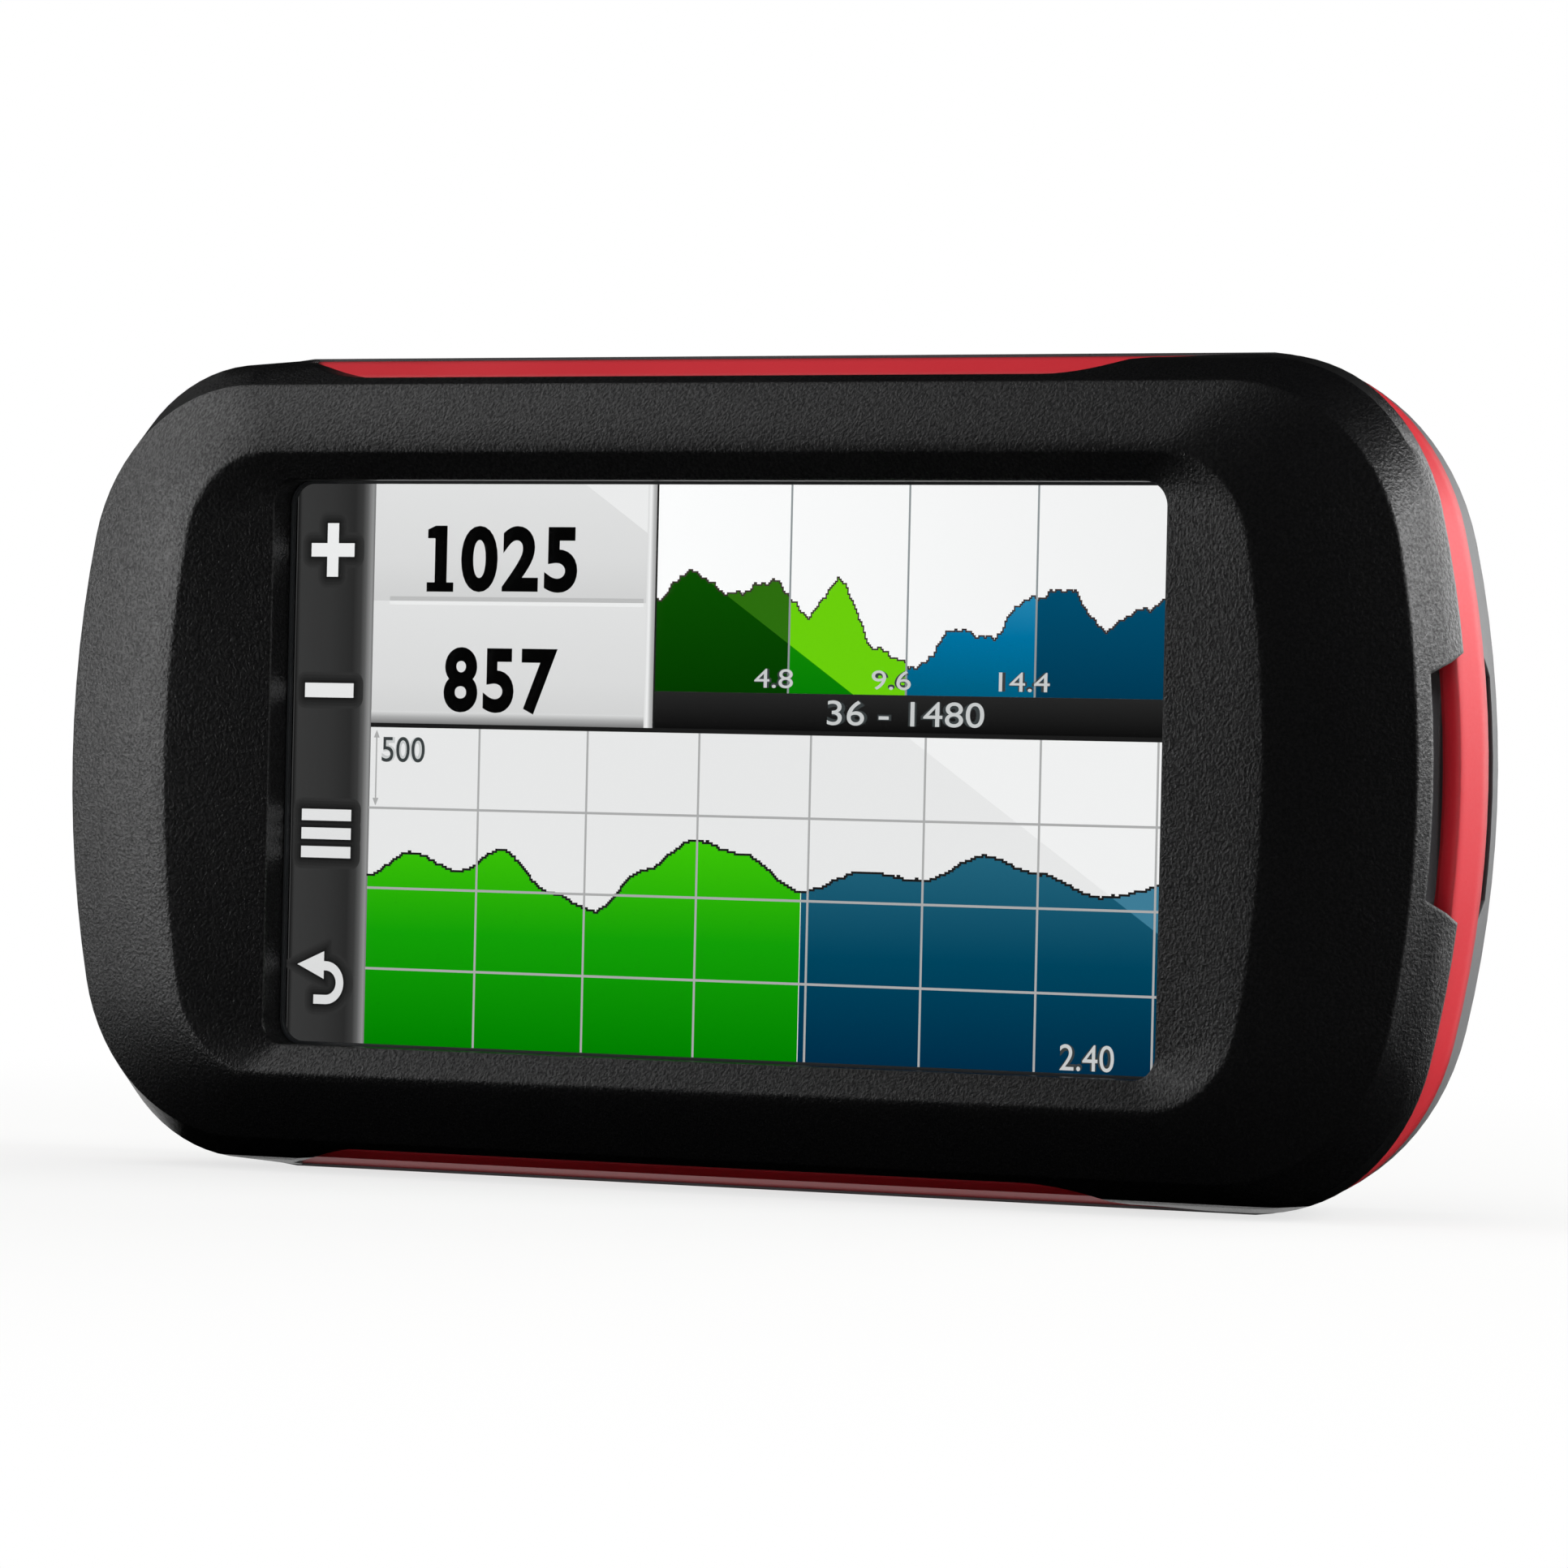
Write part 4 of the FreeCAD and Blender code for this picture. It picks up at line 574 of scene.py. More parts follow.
class GPSUNIT_OT_display(bpy.types.Operator):
    """Finish the display cell, the backlight and the frame behind them."""

    bl_idname = "gpsunit.display"
    bl_label = "Display stack"

    def execute(self, context):
        # laminated display cell: black mask with a faint blue-grey film gloss and dot rows
        cell, tree, surface = new_finish("laminated_display_cell",
                                         {"Roughness": 0.3, "IOR": 1.5}, linear("08090B"))
        where = add(tree, "ShaderNodeTexCoord").outputs["Object"]
        dots = add(tree, "ShaderNodeTexBrick",
                   {"offset": 0.0, "Scale": 1.0, "Color1": (*linear("08090B"), 1),
                    "Color2": (*linear("0A0B0E"), 1), "Mortar": (*linear("040405"), 1),
                    "Brick Width": context.scene.gpsunit_screen.dot,
                    "Row Height": context.scene.gpsunit_screen.dot,
                    "Mortar Size": 0.02 * MM}, {"Vector": where})
        tree.links.new(dots.outputs["Color"], surface.inputs["Base Color"])
        finish_nodes(cell, "display_cell")
        # cast acrylic light guide: milky white, lightly frosted by its printed dots
        guide = moulded("cast_acrylic_light_guide", linear("E9EEF0"),
                        {"Roughness": 0.3, "IOR": 1.49, "Subsurface Weight": 0.2,
                         "Subsurface Radius": (0.002, 0.002, 0.002)},
                        grain=0.6 * MM, depth=0.004 * MM, edge=0.1 * MM, cloud=0.02)
        finish_nodes(guide, "backlight")
        # pressed tinplate: bright grey with faint rolling lines
        tinplate = turned_metal("pressed_tinplate", "B9BBBC", 0.34, line=0.25 * MM,
                                depth=0.002 * MM, along=(0.05, 1, 1))
        finish_nodes(tinplate, "display_frame", "rf_shield", "card_socket", "usb_socket")
        return {"FINISHED"}


class GPSUNIT_OT_metal(bpy.types.Operator):
    """Finish the latch, the screws, the camera ring and the contacts."""

    bl_idname = "gpsunit.metal"
    bl_label = "Metal parts"

    def execute(self, context):
        # turned and tumbled stainless steel: satin grey, tiny random marks
        steel = turned_metal("tumbled_stainless_steel", "A7A6A3", 0.3, line=0.18 * MM,
                             depth=0.003 * MM)
        finish_nodes(steel, "latch_barrel", "latch_pin", "latch_ring", "latch_clip",
                     "housing_screws")
        # anodised aluminium, bead blasted: pale, even and dull
        blasted = turned_metal("blasted_anodised_aluminium", "8E9092", 0.42, line=0.12 * MM,
                               depth=0.002 * MM)
        finish_nodes(blasted, "camera_ring")
        # hard gold plate over nickel: warm, smooth, slightly scratched
        plate = turned_metal("hard_gold_plate", "D8AE58", 0.24, line=0.3 * MM,
                             depth=0.001 * MM)
        finish_nodes(plate, "antenna_socket", "mount_contacts", "battery_contacts")
        return {"FINISHED"}


class GPSUNIT_OT_electronics(bpy.types.Operator):
    """Finish the board and what sits on it, and the battery pack."""

    bl_idname = "gpsunit.electronics"
    bl_label = "Electronics and battery"

    def execute(self, context):
        # solder resist over glass-fibre laminate: deep green with a wet gloss and faint weave
        board = moulded("solder_resist_on_laminate", linear("12502C"),
                        {"Roughness": 0.28, "IOR": 1.55}, grain=0.7 * MM,
                        depth=0.006 * MM, edge=0.05 * MM)
        finish_nodes(board, "main_board")
        # transfer-moulded epoxy: charcoal, matt, fine even grain
        epoxy = moulded("moulded_black_epoxy", linear("1A1B1C"),
                        {"Roughness": 0.55, "IOR": 1.55}, grain=0.2 * MM,
                        depth=0.006 * MM, edge=0.08 * MM)
        finish_nodes(epoxy, "power_switch", "audio_socket", "memory_card", "board_chips",
                     "beeper", "camera_module")
        # fired and ground ceramic: warm off-white, slightly speckled, chalky
        ceramic = moulded("fired_ceramic", linear("CFC6B2"), {"Roughness": 0.5, "IOR": 1.6},
                          grain=0.5 * MM, depth=0.005 * MM, edge=0.1 * MM, cloud=0.08)
        finish_nodes(ceramic, "satellite_antenna")
        # shrink-wrapped PVC sleeve: dark slate, glossy, gently rippled
        wrap = moulded("shrink_wrapped_pvc", linear("27303A"), {"Roughness": 0.32, "IOR": 1.53},
                       grain=2.5 * MM, depth=0.05 * MM, edge=0.4 * MM)
        finish_nodes(wrap, "battery_pack")
        return {"FINISHED"}


# ------------------------------------------------------------------ operators: the picture

# The touch keys, made of rectangles as (left, right, low, high).
KEYS = {
    "plus": [(-44.92, -40.18, 18.86, 20.1), (-43.17, -41.93, 17.03, 21.93)],
    "minus": [(-45.3, -39.95, 5.98, 7.3)],
    "menu": [(-45.35, -39.9, low, low + 1.05) for low in (-5.3, -7.0, -8.7)],
    "undo": [(-42.9, -42.3, -19.0, -18.16), (-43.63, -42.3, -22.08, -21.24)],
}
# The undo key's hook, as its middle, outer and inner radius, and its arrow's three corners.
HOOK = (-42.32, -20.12), 1.96, 1.12
ARROW = (-45.47, -18.5), (-42.54, -17.25), (-42.54, -19.78)
# The soft dark surround of a key in steps: how far out, on which layer, and how dark.
SURROUND = [(1.0, "shade", "303030"), (0.74, "chart", "2A2A2A"), (0.48, "rule", "242424"),
            (0.24, "back", "1C1C1C")]

# Width of the tiles' raised border, and the groove between the tiles with its light lip.
BORDER = 1.1
GROOVE_LEFT, GROOVE_RIGHT, GROOVE, LIP = -36.2, -8.9, 0.4, 0.35
# The large numbers as (left, right, low, high), their stroke and their spacing. The numeral 1
# that leads the upper one is a stem with a foot and a flag.
UPPER_NUMBER = -28.5, -16.0, 15.75, 21.75
LOWER_NUMBER = -30.1, -17.9, 4.75, 10.75
STROKE, SPACING = 0.035, 1.14
NUMERAL_ONE = [rect(-32.2, -29.3, 15.75, 16.6), rect(-31.35, -30.05, 15.75, 21.75),
               [(-32.15, 20.6), (-31.3, 20.6), (-31.3, 21.75), (-32.15, 21.4)]]

# The ground lines of both charts as (along, up), and how bumpy they are.
UPPER_HILLS = [
    (TILE_RIGHT, 15.2), (-4.2, 17.7), (0.3, 15.7), (4.6, 16.9), (8.2, 13.9), (11.4, 17.0),
    (15.2, 11.0), (19.5, 9.4), (23.2, 12.8), (27.0, 12.1), (30.2, 15.4), (34.5, 16.4),
    (38.3, 12.9), (41.5, 14.6), (RIGHT, 16.2)]
LOWER_HILLS = [
    (BAR_RIGHT, -10.2), (-33.4, -8.1), (-28.0, -9.7), (-23.6, -7.6), (-18.2, -11.4),
    (-13.4, -12.9), (-8.6, -9.2), (-3.0, -6.3), (1.8, -7.4), (8.2, -10.6), (14.4, -8.7),
    (20.5, -9.3), (26.8, -7.0), (32.0, -8.4), (38.4, -10.3), (RIGHT, -8.9)]
UPPER_RIPPLE, LOWER_RIPPLE = 0.16, 0.05
# Thickness of the dark line along them, and of the seam left and right of the tiles' edge.
UPPER_LINE, LOWER_LINE = 0.14, 0.2
SEAM_LEFT, SEAM_RIGHT = 0.15, 0.05
# Where the ground changes colour.
DEEP_TO_LIGHT, GREEN_TO_BLUE, LIGHT_TO_DEEP, COVERED = 6.4, 18.5, 31.5, 8.2

# Grid lines of the lower chart and divisions of the upper one, with half their width.
GRID_ALONG = -26.1, -14.5, -2.7, 8.9, 20.64, 32.24, 43.9
GRID_UP = -4.0, -11.3, -18.65
GRID_HALF = 0.11
DIVISIONS = DEEP_TO_LIGHT, GREEN_TO_BLUE, LIGHT_TO_DEEP, 44.4
DIVISION_HALF = 0.1
# The arrow that shows the height of one grid step: its stem and both heads.
SCALE_ARROW = [rect(-37.35, -37.2, -3.2, 2.6), [(-37.28, 3.1), (-37.6, 2.4), (-36.95, 2.4)],
               [(-37.28, -3.8), (-36.95, -3.1), (-37.6, -3.1)]]
# The small numbers: name, text and (left, right, low, high), and the stroke of their outline.
SCALE_NUMBERS = [("left", "500", (-36.7, -32.0, 0.2, 2.5)),
                 ("right", "2.40", (34.8, 40.2, -25.3, -23.0)),
                 ("near", "4.8", (2.9, 6.9, 7.5, 9.2)),
                 ("middle", "9.6", (15.0, 19.0, 7.5, 9.2)),
                 ("far", "14.4", (27.9, 33.0, 7.5, 9.2)),
                 ("strip", "36 - 1480", (10.5, 26.5, 4.3, 6.5))]
OUTLINE = 0.05


def key_shapes(name, grow):
    """Outlines of a touch key, let out by grow all round."""
    shapes = [grown(*box, grow) for box in KEYS[name]]
    if name == "undo":
        (along, up), outer, inner = HOOK
        (tip, level), (base, top), (_, low) = ARROW
        shapes.insert(0, half_ring(along, up, outer + grow, inner - grow))
        shapes.append([(tip - 2 * grow, level), (base + grow, top + 1.5 * grow),
                       (base + grow, low - 1.5 * grow)])
    return shapes


def hill(name, left, right, foot, crest, ground, ripple, stops, painted_glare=None):
    """One colour of the ground under a chart's line, paler above the edge of the painted glare if
    a glare colour is given; returns its strips.
    """
    strips = columns(left, right, foot, ground, ripple)
    flat_piece("hill_" + name, strips, "chart",
               fade("screen_hill_" + name, stops, foot, crest, painted_glare=painted_glare))
    return strips


class GPSUNIT_OT_tool_bar(bpy.types.Operator):
    """Draw the tool bar with its touch keys."""

    bl_idname = "gpsunit.tool_bar"
    bl_label = "Tool bar"

    def execute(self, context):
        bar = context.scene.gpsunit_screen.bar
        # a thin lit edge, a soft hollow, and a bevel that catches the light at the right
        hollow = fade("screen_bar", [
            (0.0, "4E4E4E"), (0.014, "161616"), (0.06, bar), (0.45, toned(bar, 0.86)),
            (0.74, toned(bar, 0.6)), (0.84, toned(bar, 1.1)),
            (0.9, "5C5C5C"), (0.97, "929292"), (1.0, "6E6E6E")], BAR_LEFT, BAR_RIGHT, "X")
        flat_piece("tool_bar", [rect(BAR_LEFT, BAR_RIGHT, FOOT, TOP)], "ground", hollow)
        dusk = {layer: glow("screen_key_shadow_" + layer, code) for _, layer, code in SURROUND}
        ink = fade("screen_key_light", [(0.0, "DADADA"), (1.0, "F0F0F0")], FOOT, TOP)
        for name in KEYS:
            for grow, layer, _ in SURROUND:
                flat_piece(f"key_shadow_{name}_{layer}", key_shapes(name, grow), layer,
                           dusk[layer])
            flat_piece("key_" + name, key_shapes(name, 0.0), "mark", ink)
        return {"FINISHED"}


class GPSUNIT_OT_tiles(bpy.types.Operator):
    """Draw the two number tiles."""

    bl_idname = "gpsunit.tiles"
    bl_label = "Number tiles"

    def execute(self, context):
        tile = context.scene.gpsunit_screen.tile
        for name, low, top in (("upper", TILE_SPLIT, TOP), ("lower", STRIP_LOW, TILE_SPLIT)):
            # painted glare: the tiles turn paler above the slanting edge, a painted reflection of
            # a soft light
            ground = fade("screen_tile_" + name,
                          [(0.0, toned(tile, 0.9)), (0.35, tile), (1.0, toned(tile, 1.07))],
                          low, top, painted_glare="EDEDED")
            flat_piece("tile_" + name, [rect(BAR_RIGHT, TILE_RIGHT, low, top)], "ground", ground)
        # the raised border of the tiles: light inside, shaded towards the chart and the foot
        side = fade("screen_tile_side",
                    [(0.0, tile), (0.3, "F1F1F1"), (0.55, "BDBDBD"), (1.0, "8C8C8C")],
                    TILE_RIGHT - BORDER, TILE_RIGHT, "X")
        foot = fade("screen_tile_foot", [(0.0, "7A7A7A"), (0.5, "A9A9A9"), (1.0, tile)],
                    STRIP_LOW, STRIP_LOW + BORDER)
        flat_piece("tile_foot", [rect(BAR_RIGHT, TILE_RIGHT, STRIP_LOW, STRIP_LOW + BORDER)],
                   "shade", foot)
        flat_piece("tile_side", [rect(TILE_RIGHT - BORDER, TILE_RIGHT, STRIP_LOW, TOP)],
                   "chart", side)
        for name, low, high, code in (
                ("tile_rule", TILE_SPLIT, TILE_SPLIT + GROOVE, "BDBDBD"),
                ("tile_rule_light", TILE_SPLIT - LIP, TILE_SPLIT, "EEEEEE")):
            flat_piece(name, [rect(GROOVE_LEFT, GROOVE_RIGHT, low, high)], "rule",
                       glow("screen_" + name, code))
        ink = glow("screen_number_black", "040404")
        number("number_upper", "025", UPPER_NUMBER, "mark", ink, STROKE, SPACING)
        number("number_lower", "857", LOWER_NUMBER, "mark", ink, STROKE, SPACING)
        flat_piece("number_upper_foot", NUMERAL_ONE, "mark", ink)
        return {"FINISHED"}


class GPSUNIT_OT_charts(bpy.types.Operator):
    """Draw the two height charts."""

    bl_idname = "gpsunit.charts"
    bl_label = "Height charts"

    def execute(self, context):
        screen = context.scene.gpsunit_screen
        white = fade("screen_paper_upper", [(0.0, "FFFFFF"), (1.0, "F2F2F2")],
                     TILE_RIGHT, RIGHT, "X")
        # painted glare: the paper turns paler above the slanting edge, a painted reflection
        paper = fade("screen_paper_lower", [(0.0, screen.paper), (1.0, screen.paper)],
                     BAR_RIGHT, RIGHT, "X", painted_glare="F2F2F2")
        strip = fade("screen_strip", [(0.0, "0D0D0D"), (1.0, "262626")], STRIP_LOW, STRIP_TOP)
        for name, left, low, top, look in (
                ("chart_paper_upper", TILE_RIGHT, STRIP_TOP, TOP, white),
                ("chart_paper_lower", BAR_RIGHT, FOOT, CHART_TOP, paper),
                ("chart_strip", TILE_RIGHT, STRIP_LOW, STRIP_TOP, strip)):
            flat_piece(name, [rect(left, RIGHT, low, top)], "ground", look)
        line = glow("screen_dark_line", "1C1C1C")
        flat_piece("chart_frame", [rect(BAR_RIGHT, RIGHT, CHART_TOP, STRIP_LOW),
                                   rect(TILE_RIGHT - SEAM_LEFT, TILE_RIGHT + SEAM_RIGHT,
                                        STRIP_LOW, TOP)], "rule", line)

        edges = []
        # the fourth column is the painted glare, the paler colour each ground takes above the
        # slanting edge
        for name, left, right, painted_glare, stops in (
                ("a", TILE_RIGHT, DEEP_TO_LIGHT, "2D6E0F", [(0.0, "033A00"), (1.0, "0A4C02")]),
                ("b", DEEP_TO_LIGHT, GREEN_TO_BLUE, "6CCF0C",
                 [(0.0, "067C04"), (0.6, "128C06"), (1.0, "1E9A08")]),
                ("c", GREEN_TO_BLUE, LIGHT_TO_DEEP, None,
                 [(0.0, "005E80"), (0.5, "0072A0"), (1.0, screen.far)]),
                ("d", LIGHT_TO_DEEP, RIGHT, None, [(0.0, "003A56"), (1.0, "014F70")])):
            strips = hill("upper_" + name, left, right, STRIP_TOP, UPPER_CREST, UPPER_HILLS,
                          UPPER_RIPPLE, stops, painted_glare)
            edges += ridge(strips, UPPER_LINE)
        flat_piece("hill_upper_ridge", edges, "rule", glow("screen_ridge", "3A2E2C"))
        edges = []
        # the fourth column is the painted glare, the paler colour each ground takes above the
        # slanting edge
        for name, left, right, painted_glare, stops in (
                ("a", BAR_RIGHT, COVERED, None,
                 [(0.0, "007F00"), (0.55, "12A006"), (1.0, screen.near)]),
                ("b", COVERED, RIGHT, "3F7D97",
                 [(0.0, "002C48"), (0.5, "00445E"), (1.0, "22647C")])):
            strips = hill("lower_" + name, left, right, FOOT, LOWER_CREST, LOWER_HILLS,
                          LOWER_RIPPLE, stops, painted_glare)
            edges += ridge(strips, LOWER_LINE)
        flat_piece("hill_ridge", edges, "rule", line)
        return {"FINISHED"}


class GPSUNIT_OT_scales(bpy.types.Operator):
    """Draw the grid lines and the small scale numbers."""

    bl_idname = "gpsunit.scales"
    bl_label = "Grid and scale numbers"

    def execute(self, context):
        pale = glow("screen_grid_line", "ABABAB")
        flat_piece("grid_uprights", [rect(along - GRID_HALF, along + GRID_HALF, FOOT, CHART_TOP)
                                     for along in GRID_ALONG], "back", pale)
        flat_piece("grid_levels", [rect(BAR_RIGHT, RIGHT, up - GRID_HALF, up + GRID_HALF)
                                   for up in GRID_UP], "mark", pale)
        flat_piece("grid_divisions", [
            rect(along - DIVISION_HALF, along + DIVISION_HALF, STRIP_TOP, TOP)
            for along in DIVISIONS], "back", glow("screen_division", "8E9496"))
        flat_piece("scale_arrow", SCALE_ARROW, "mark", pale)
        light = glow("screen_scale_light", "C9CBCB")
        dark = glow("screen_scale_dark", "3A3F40")
        for name, text, box in SCALE_NUMBERS:
            behind, front = (light, dark) if name == "left" else (dark, light)
            number("scale_back_" + name, text, box, "back", behind, OUTLINE)
            number("scale_" + name, text, box, "mark", front)
        return {"FINISHED"}


# ------------------------------------------------------------------ operators: studio

# Straight parts of a curved card, how high cards lie on the paper and hang overhead.
ARC_STEPS = 16
CARD_LIFT, CARD_TOP = 0.001, 0.5


def background_share(tree):
    """1 for the rays that should see the pale surroundings: camera, glossy and transmission."""
    path = add(tree, "ShaderNodeLightPath")
    either = add(tree, "ShaderNodeMath", {"operation": "MAXIMUM"},
                 {0: path.outputs["Is Camera Ray"], 1: path.outputs["Is Glossy Ray"]})
    return add(tree, "ShaderNodeMath", {"operation": "MAXIMUM"},
               {0: either.outputs[0], 1: path.outputs["Is Transmission Ray"]})


def add_lamp(name, place, wide, tall, level, glossy, aim):
    """A soft panel: level is how bright its face looks, and it shines towards aim."""
    light = bpy.data.lights.new(name, "AREA")
    light.shape = "RECTANGLE"
    light.size = wide
    light.size_y = tall
    light.energy = level * math.pi * wide * tall * bpy.context.scene.gpsunit_studio.lamps
    lamp = bpy.data.objects.new(name, light)
    lamp.location = place
    lamp.rotation_mode = "QUATERNION"
    lamp.rotation_quaternion = (aim - Vector(place)).to_track_quat("-Z", "Y")
    lamp.visible_camera = False
    lamp.visible_glossy = glossy
    bpy.context.scene.collection.objects.link(lamp)


def add_stage(name, points, faces, material):
    """A piece of the studio: it isn't part of the unit."""
    mesh = bpy.data.meshes.new(name)
    mesh.from_pydata(points, [], faces)
    mesh.materials.append(material)
    piece = bpy.data.objects.new(name, mesh)
    bpy.context.scene.collection.objects.link(piece)
    return piece


def add_card(name, level, form):
    """A card that only reflections see: level is its brightness, form its points and faces."""
    felt = new_finish(name, {"Roughness": 1.0, "Specular IOR Level": 0.0,
                             "Emission Color": (1, 1, 1, 1), "Emission Strength": level},
                      (0, 0, 0))[0]
    card = add_stage(name, *form, felt)
    for rays in ("camera", "diffuse", "shadow", "volume_scatter"):
        setattr(card, "visible_" + rays, False)


def arc_points(first, last, radius, height):
    """Points round the unit at a height, by angle in degrees from straight in front."""
    turns = [math.radians(first + (last - first) * i / ARC_STEPS) for i in range(ARC_STEPS + 1)]
    return [(radius * math.sin(t), -radius * math.cos(t), height) for t in turns]


def arc_wall(first, last, radius, low, high):
    """Points and faces of an upright curved card."""
    points = arc_points(first, last, radius, low) + arc_points(first, last, radius, high)
    row = ARC_STEPS + 1
    return points, [[i, i + 1, i + 1 + row, i + row] for i in range(ARC_STEPS)]


def arc_floor(first, last, radius):
    """Points and faces of a card just over the paper, from the unit's middle outwards."""
    points = [(0, 0, CARD_LIFT)] + arc_points(first, last, radius, CARD_LIFT)
    return points, [list(range(len(points)))]


def flat_card(left, right, near, far):
    """Points and faces of a level card overhead."""
    return [(left, near, CARD_TOP), (right, near, CARD_TOP), (right, far, CARD_TOP),
            (left, far, CARD_TOP)], [[0, 1, 2, 3]]


def side_card(place, near, far, low, high):
    """Points and faces of an upright card to the right."""
    return [(place, near, low), (place, far, low), (place, far, high),
            (place, near, high)], [[0, 1, 2, 3]]


# Each card's level and form. The black ones in front, on the paper, overhead and behind keep
# the faces that are turned to them dark, and the pale ones give the others a soft sheen.
CARDS = {
    "front_card": (0.0, arc_wall(-54, 48, 0.30, 0.0, 0.45)),
    "low_card": (0.0, arc_floor(-85, 120, 0.30)),
    "low_rear_card": (0.0, arc_floor(-190, -112, 0.36)),
    "rear_card": (0.0, arc_wall(-190, -104, 0.335, 0.0, 0.45)),
    "high_card": (0.0, flat_card(-0.14, 0.7, -0.7, 0.9)),
    "high_rear_card": (0.0, flat_card(-0.9, -0.14, 0.0, 0.9)),
    "near_left_card": (5.2, arc_wall(-70, -54, 0.34, 0.0, 0.14)),
    "left_card": (0.25, arc_wall(-104, -70, 0.34, 0.0, 0.14)),
    "left_upper_card": (1.6, arc_wall(-104, -70, 0.34, 0.14, 0.5)),
    "right_card": (13.0, side_card(0.85, -0.13, 0.37, 0.25, 0.75)),
    "upper_card": (1.7, flat_card(-0.9, -0.36, -0.7, 0.0)),
    "upper_middle_card": (0.45, flat_card(-0.36, -0.14, -0.7, 0.0)),
}
# Each lamp's place, width, height and level, and whether reflections see it.
LAMPS = {
    "left_panel": ((-0.9, -0.25, 0.4), 0.8, 0.7, 1.0, False),
    "right_panel": ((0.85, 0.12, 0.5), 0.5, 0.5, 7.5, False),
    "top_panel": ((-0.25, -0.1, 1.0), 1.0, 0.8, 1.1, False),
    "rear_panel": ((0.4, 0.9, 0.3), 0.9, 0.6, 3.6, True),
    "front_panel": ((0.1, -1.0, 0.5), 1.0, 0.8, 1.2, False),
}
# The paper's radius, its sides, and how little it lies under the unit.
FLOOR_RADIUS, FLOOR_SIDES, FLOOR_DROP = 4, 48, 0.00002
# From here to there the paper turns wholly white; before that it is white by this share.
WHITE_FROM, WHITE_TO, WHITE_SHARE = 80 * MM, 330 * MM, 0.72
# Light of the surroundings on the unit.
AIR_LEVEL = 0.42
# The point that the camera looks at, from the unit's middle, its sensor and its range.
AIM_ALONG, AIM_UP = -1.48 * MM, -0.95 * MM
SENSOR = 36
NEAREST, FARTHEST = 0.02, 20


def lay_paper(colour):
    """Pale studio paper: white from a little way off, and it takes the unit's shadow."""
    paper, tree, surface = new_finish("studio_paper", {
        "Roughness": 0.9, "IOR": 1.45, "Specular IOR Level": 0.1}, colour)
    where = add(tree, "ShaderNodeTexCoord").outputs["Object"]
    away = add(tree, "ShaderNodeVectorMath", {"operation": "LENGTH"}, {0: where})
    far = add(tree, "ShaderNodeMapRange",
              {"interpolation_type": "SMOOTHSTEP", "From Min": WHITE_FROM, "From Max": WHITE_TO,
               "To Min": WHITE_SHARE, "To Max": 1.0}, {"Value": away.outputs["Value"]})
    share = add(tree, "ShaderNodeMath", {"operation": "MULTIPLY"},
                {0: background_share(tree).outputs[0], 1: far.outputs["Result"]})
    plain = add(tree, "ShaderNodeEmission", {"Color": (1, 1, 1, 1), "Strength": 1.0})
    both = add(tree, "ShaderNodeMixShader", None,
               {0: share.outputs[0], 1: surface.outputs["BSDF"], 2: plain.outputs[0]})
    output = next(n for n in tree.nodes if n.type == "OUTPUT_MATERIAL")
    tree.links.new(both.outputs[0], output.inputs["Surface"])
    turns = [math.radians(i * 360 / FLOOR_SIDES) for i in range(FLOOR_SIDES)]
    rim = [(FLOOR_RADIUS * math.cos(t), FLOOR_RADIUS * math.sin(t), -FLOOR_DROP) for t in turns]
    add_stage("floor", rim, [list(range(FLOOR_SIDES))], paper)


def fill_air(scene):
    """White surroundings for the eye and for reflections, and a dim even light on the unit."""
    scene.world = bpy.data.worlds.new("studio_air")
    scene.world.use_nodes = True
    air = scene.world.node_tree
    air.nodes.clear()
    dim = add(air, "ShaderNodeBackground", {"Color": (1, 1, 1, 1), "Strength": AIR_LEVEL})
    white = add(air, "ShaderNodeBackground", {"Color": (1, 1, 1, 1), "Strength": 1.0})
    mixed = add(air, "ShaderNodeMixShader", None,
                {0: background_share(air).outputs[0], 1: dim.outputs[0], 2: white.outputs[0]})
    add(air, "ShaderNodeOutputWorld", None, {"Surface": mixed.outputs[0]})


def set_camera(scene, studio, middle_height):
    """Set the camera up at its angle round and above the unit."""
    back = Vector((math.sin(studio.turn) * math.cos(studio.rise),
                   -math.cos(studio.turn) * math.cos(studio.rise), math.sin(studio.rise)))
    level = Vector((math.cos(studio.turn), math.sin(studio.turn), 0))
    upright = back.cross(level)
    right = level * math.cos(studio.roll) + upright * math.sin(studio.roll)
    up = upright * math.cos(studio.roll) - level * math.sin(studio.roll)
    lens = bpy.data.cameras.new("camera")
    lens.lens = studio.lens
    lens.sensor_width = SENSOR
    lens.clip_start, lens.clip_end = NEAREST, FARTHEST
    camera = bpy.data.objects.new("camera", lens)
    aim = Vector((AIM_ALONG, 0, middle_height + AIM_UP))
    turned = Matrix((right, up, back)).transposed().to_4x4()
    camera.matrix_world = Matrix.Translation(aim + back * studio.distance) @ turned
    scene.collection.objects.link(camera)
    bpy.context.scene.camera = camera


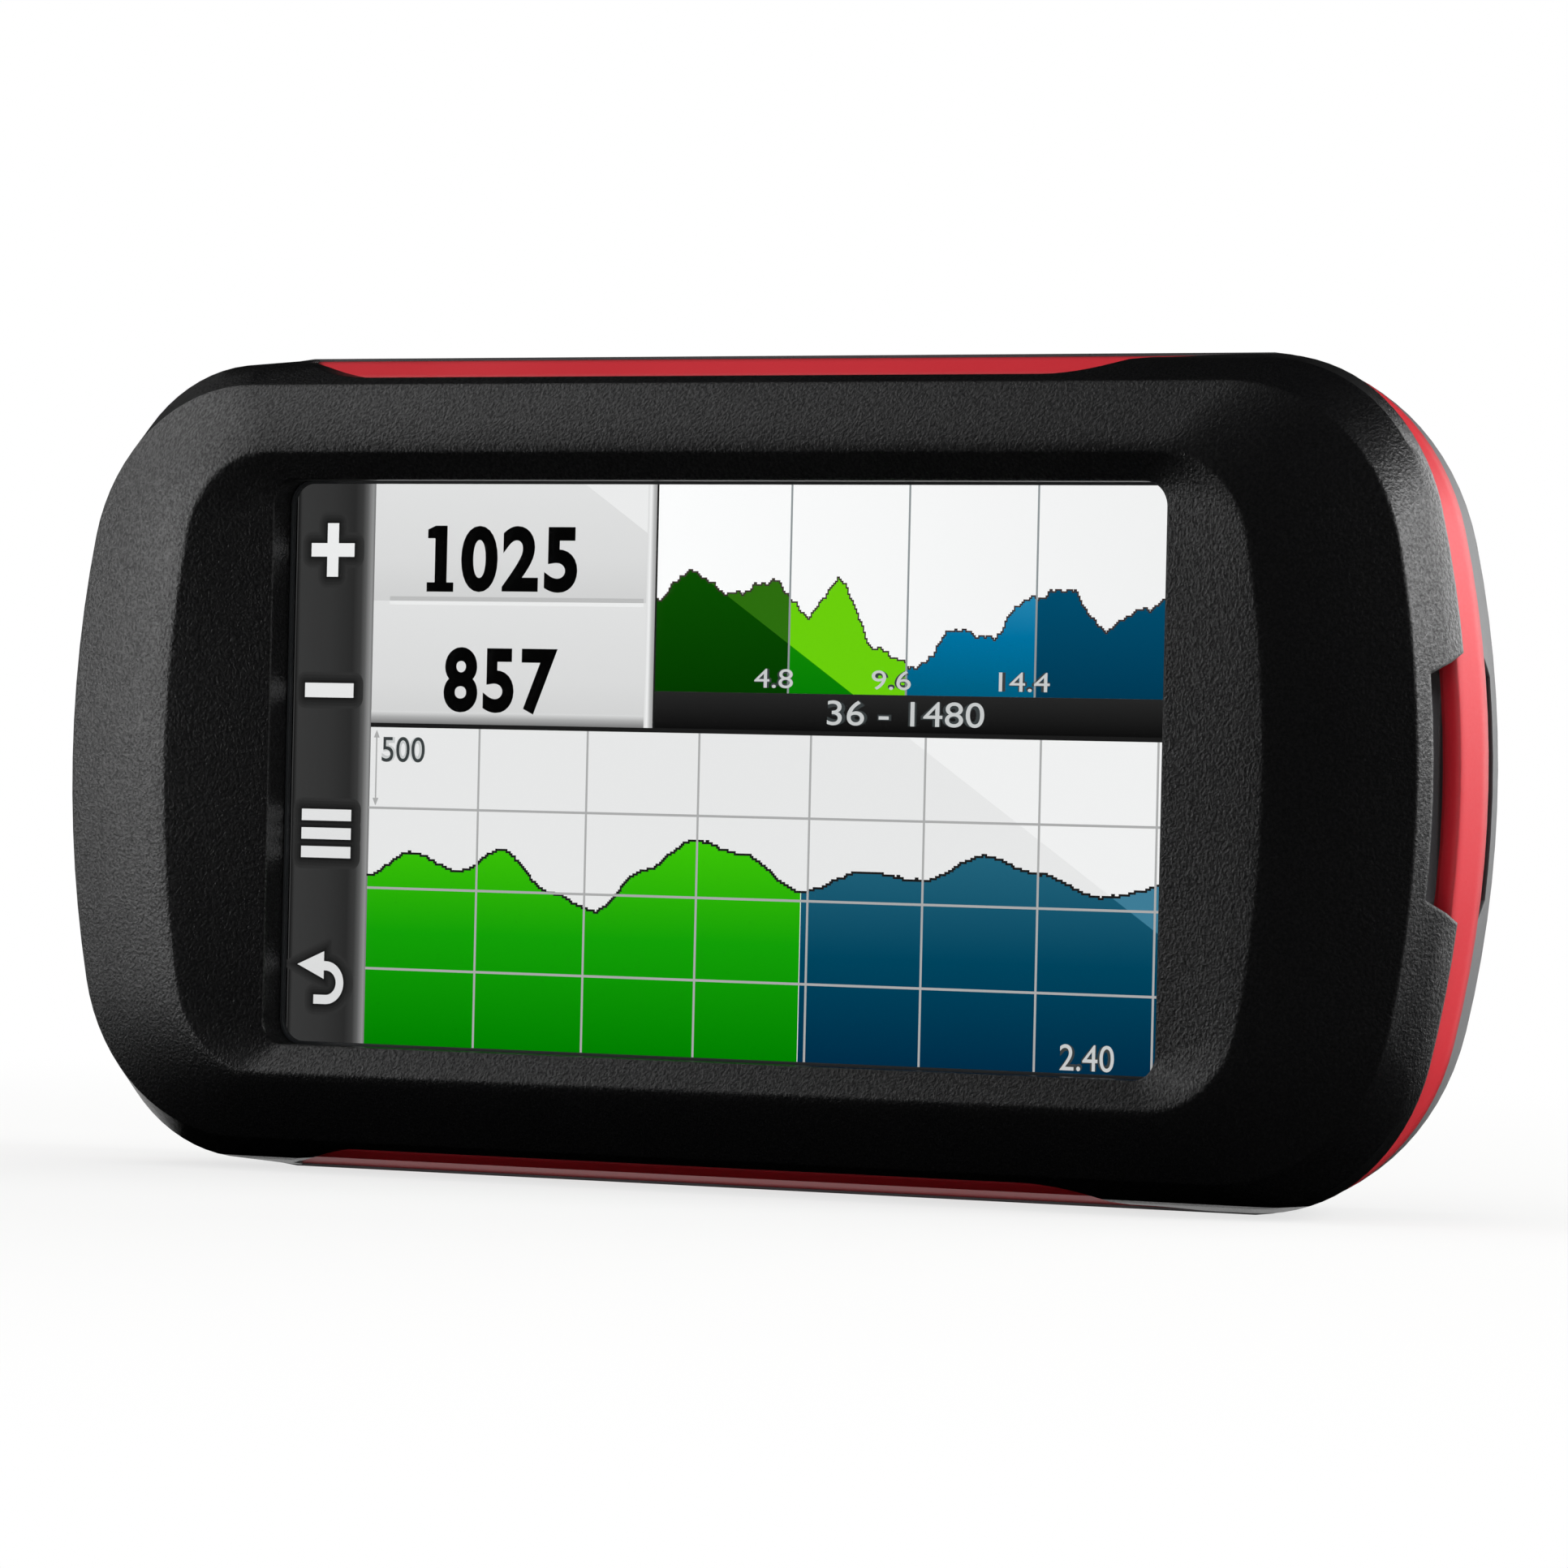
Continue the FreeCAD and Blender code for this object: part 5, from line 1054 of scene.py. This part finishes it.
class GPSUNIT_OT_studio(bpy.types.Operator):
    """Set up the floor, the surroundings, the lamps and the camera."""

    bl_idname = "gpsunit.studio"
    bl_label = "Studio"

    def execute(self, context):
        scene, studio = context.scene, context.scene.gpsunit_studio
        face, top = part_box("front_bezel")
        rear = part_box("rear_housing")[1]
        middle = Vector((0, (face.y + rear.y) / 2, top.z / 2))
        lay_paper(studio.floor)
        fill_air(scene)
        for name, (level, form) in CARDS.items():
            add_card(name, level, form)
        for name, settings in LAMPS.items():
            add_lamp(name, *settings, aim=middle)
        set_camera(scene, studio, top.z / 2)
        scene.view_settings.view_transform = "Standard"
        return {"FINISHED"}


# ------------------------------------------------------------------ panel and registration

STEPS = [GPSUNIT_OT_bezel, GPSUNIT_OT_band, GPSUNIT_OT_rear, GPSUNIT_OT_rubber, GPSUNIT_OT_glass,
         GPSUNIT_OT_display, GPSUNIT_OT_metal, GPSUNIT_OT_electronics, GPSUNIT_OT_tool_bar,
         GPSUNIT_OT_tiles, GPSUNIT_OT_charts, GPSUNIT_OT_scales, GPSUNIT_OT_studio]


class GPSUNIT_PT_panel(bpy.types.Panel):
    """Lists the settings and the steps."""

    bl_label = "GPS unit"
    bl_idname = "GPSUNIT_PT_panel"
    bl_space_type = "VIEW_3D"
    bl_region_type = "UI"
    bl_category = "GPS unit"

    def draw(self, context):
        for group in ("gpsunit_case", "gpsunit_screen", "gpsunit_studio"):
            settings = getattr(context.scene, group)
            column = self.layout.column(align=True)
            for name in settings.__annotations__:
                column.prop(settings, name)
        for step in STEPS:
            self.layout.operator(step.bl_idname)


CLASSES = [GPSUNIT_PG_case, GPSUNIT_PG_screen, GPSUNIT_PG_studio, *STEPS, GPSUNIT_PT_panel]


def register():
    for item in CLASSES:
        bpy.utils.register_class(item)
    bpy.types.Scene.gpsunit_case = PointerProperty(type=GPSUNIT_PG_case)
    bpy.types.Scene.gpsunit_screen = PointerProperty(type=GPSUNIT_PG_screen)
    bpy.types.Scene.gpsunit_studio = PointerProperty(type=GPSUNIT_PG_studio)


def unregister():
    del bpy.types.Scene.gpsunit_studio
    del bpy.types.Scene.gpsunit_screen
    del bpy.types.Scene.gpsunit_case
    for item in reversed(CLASSES):
        bpy.utils.unregister_class(item)


def main():
    """Register everything and run each step in order."""
    register()
    for step in STEPS:
        group, name = step.bl_idname.split(".")
        getattr(getattr(bpy.ops, group), name)()


if __name__ == "__main__":
    main()
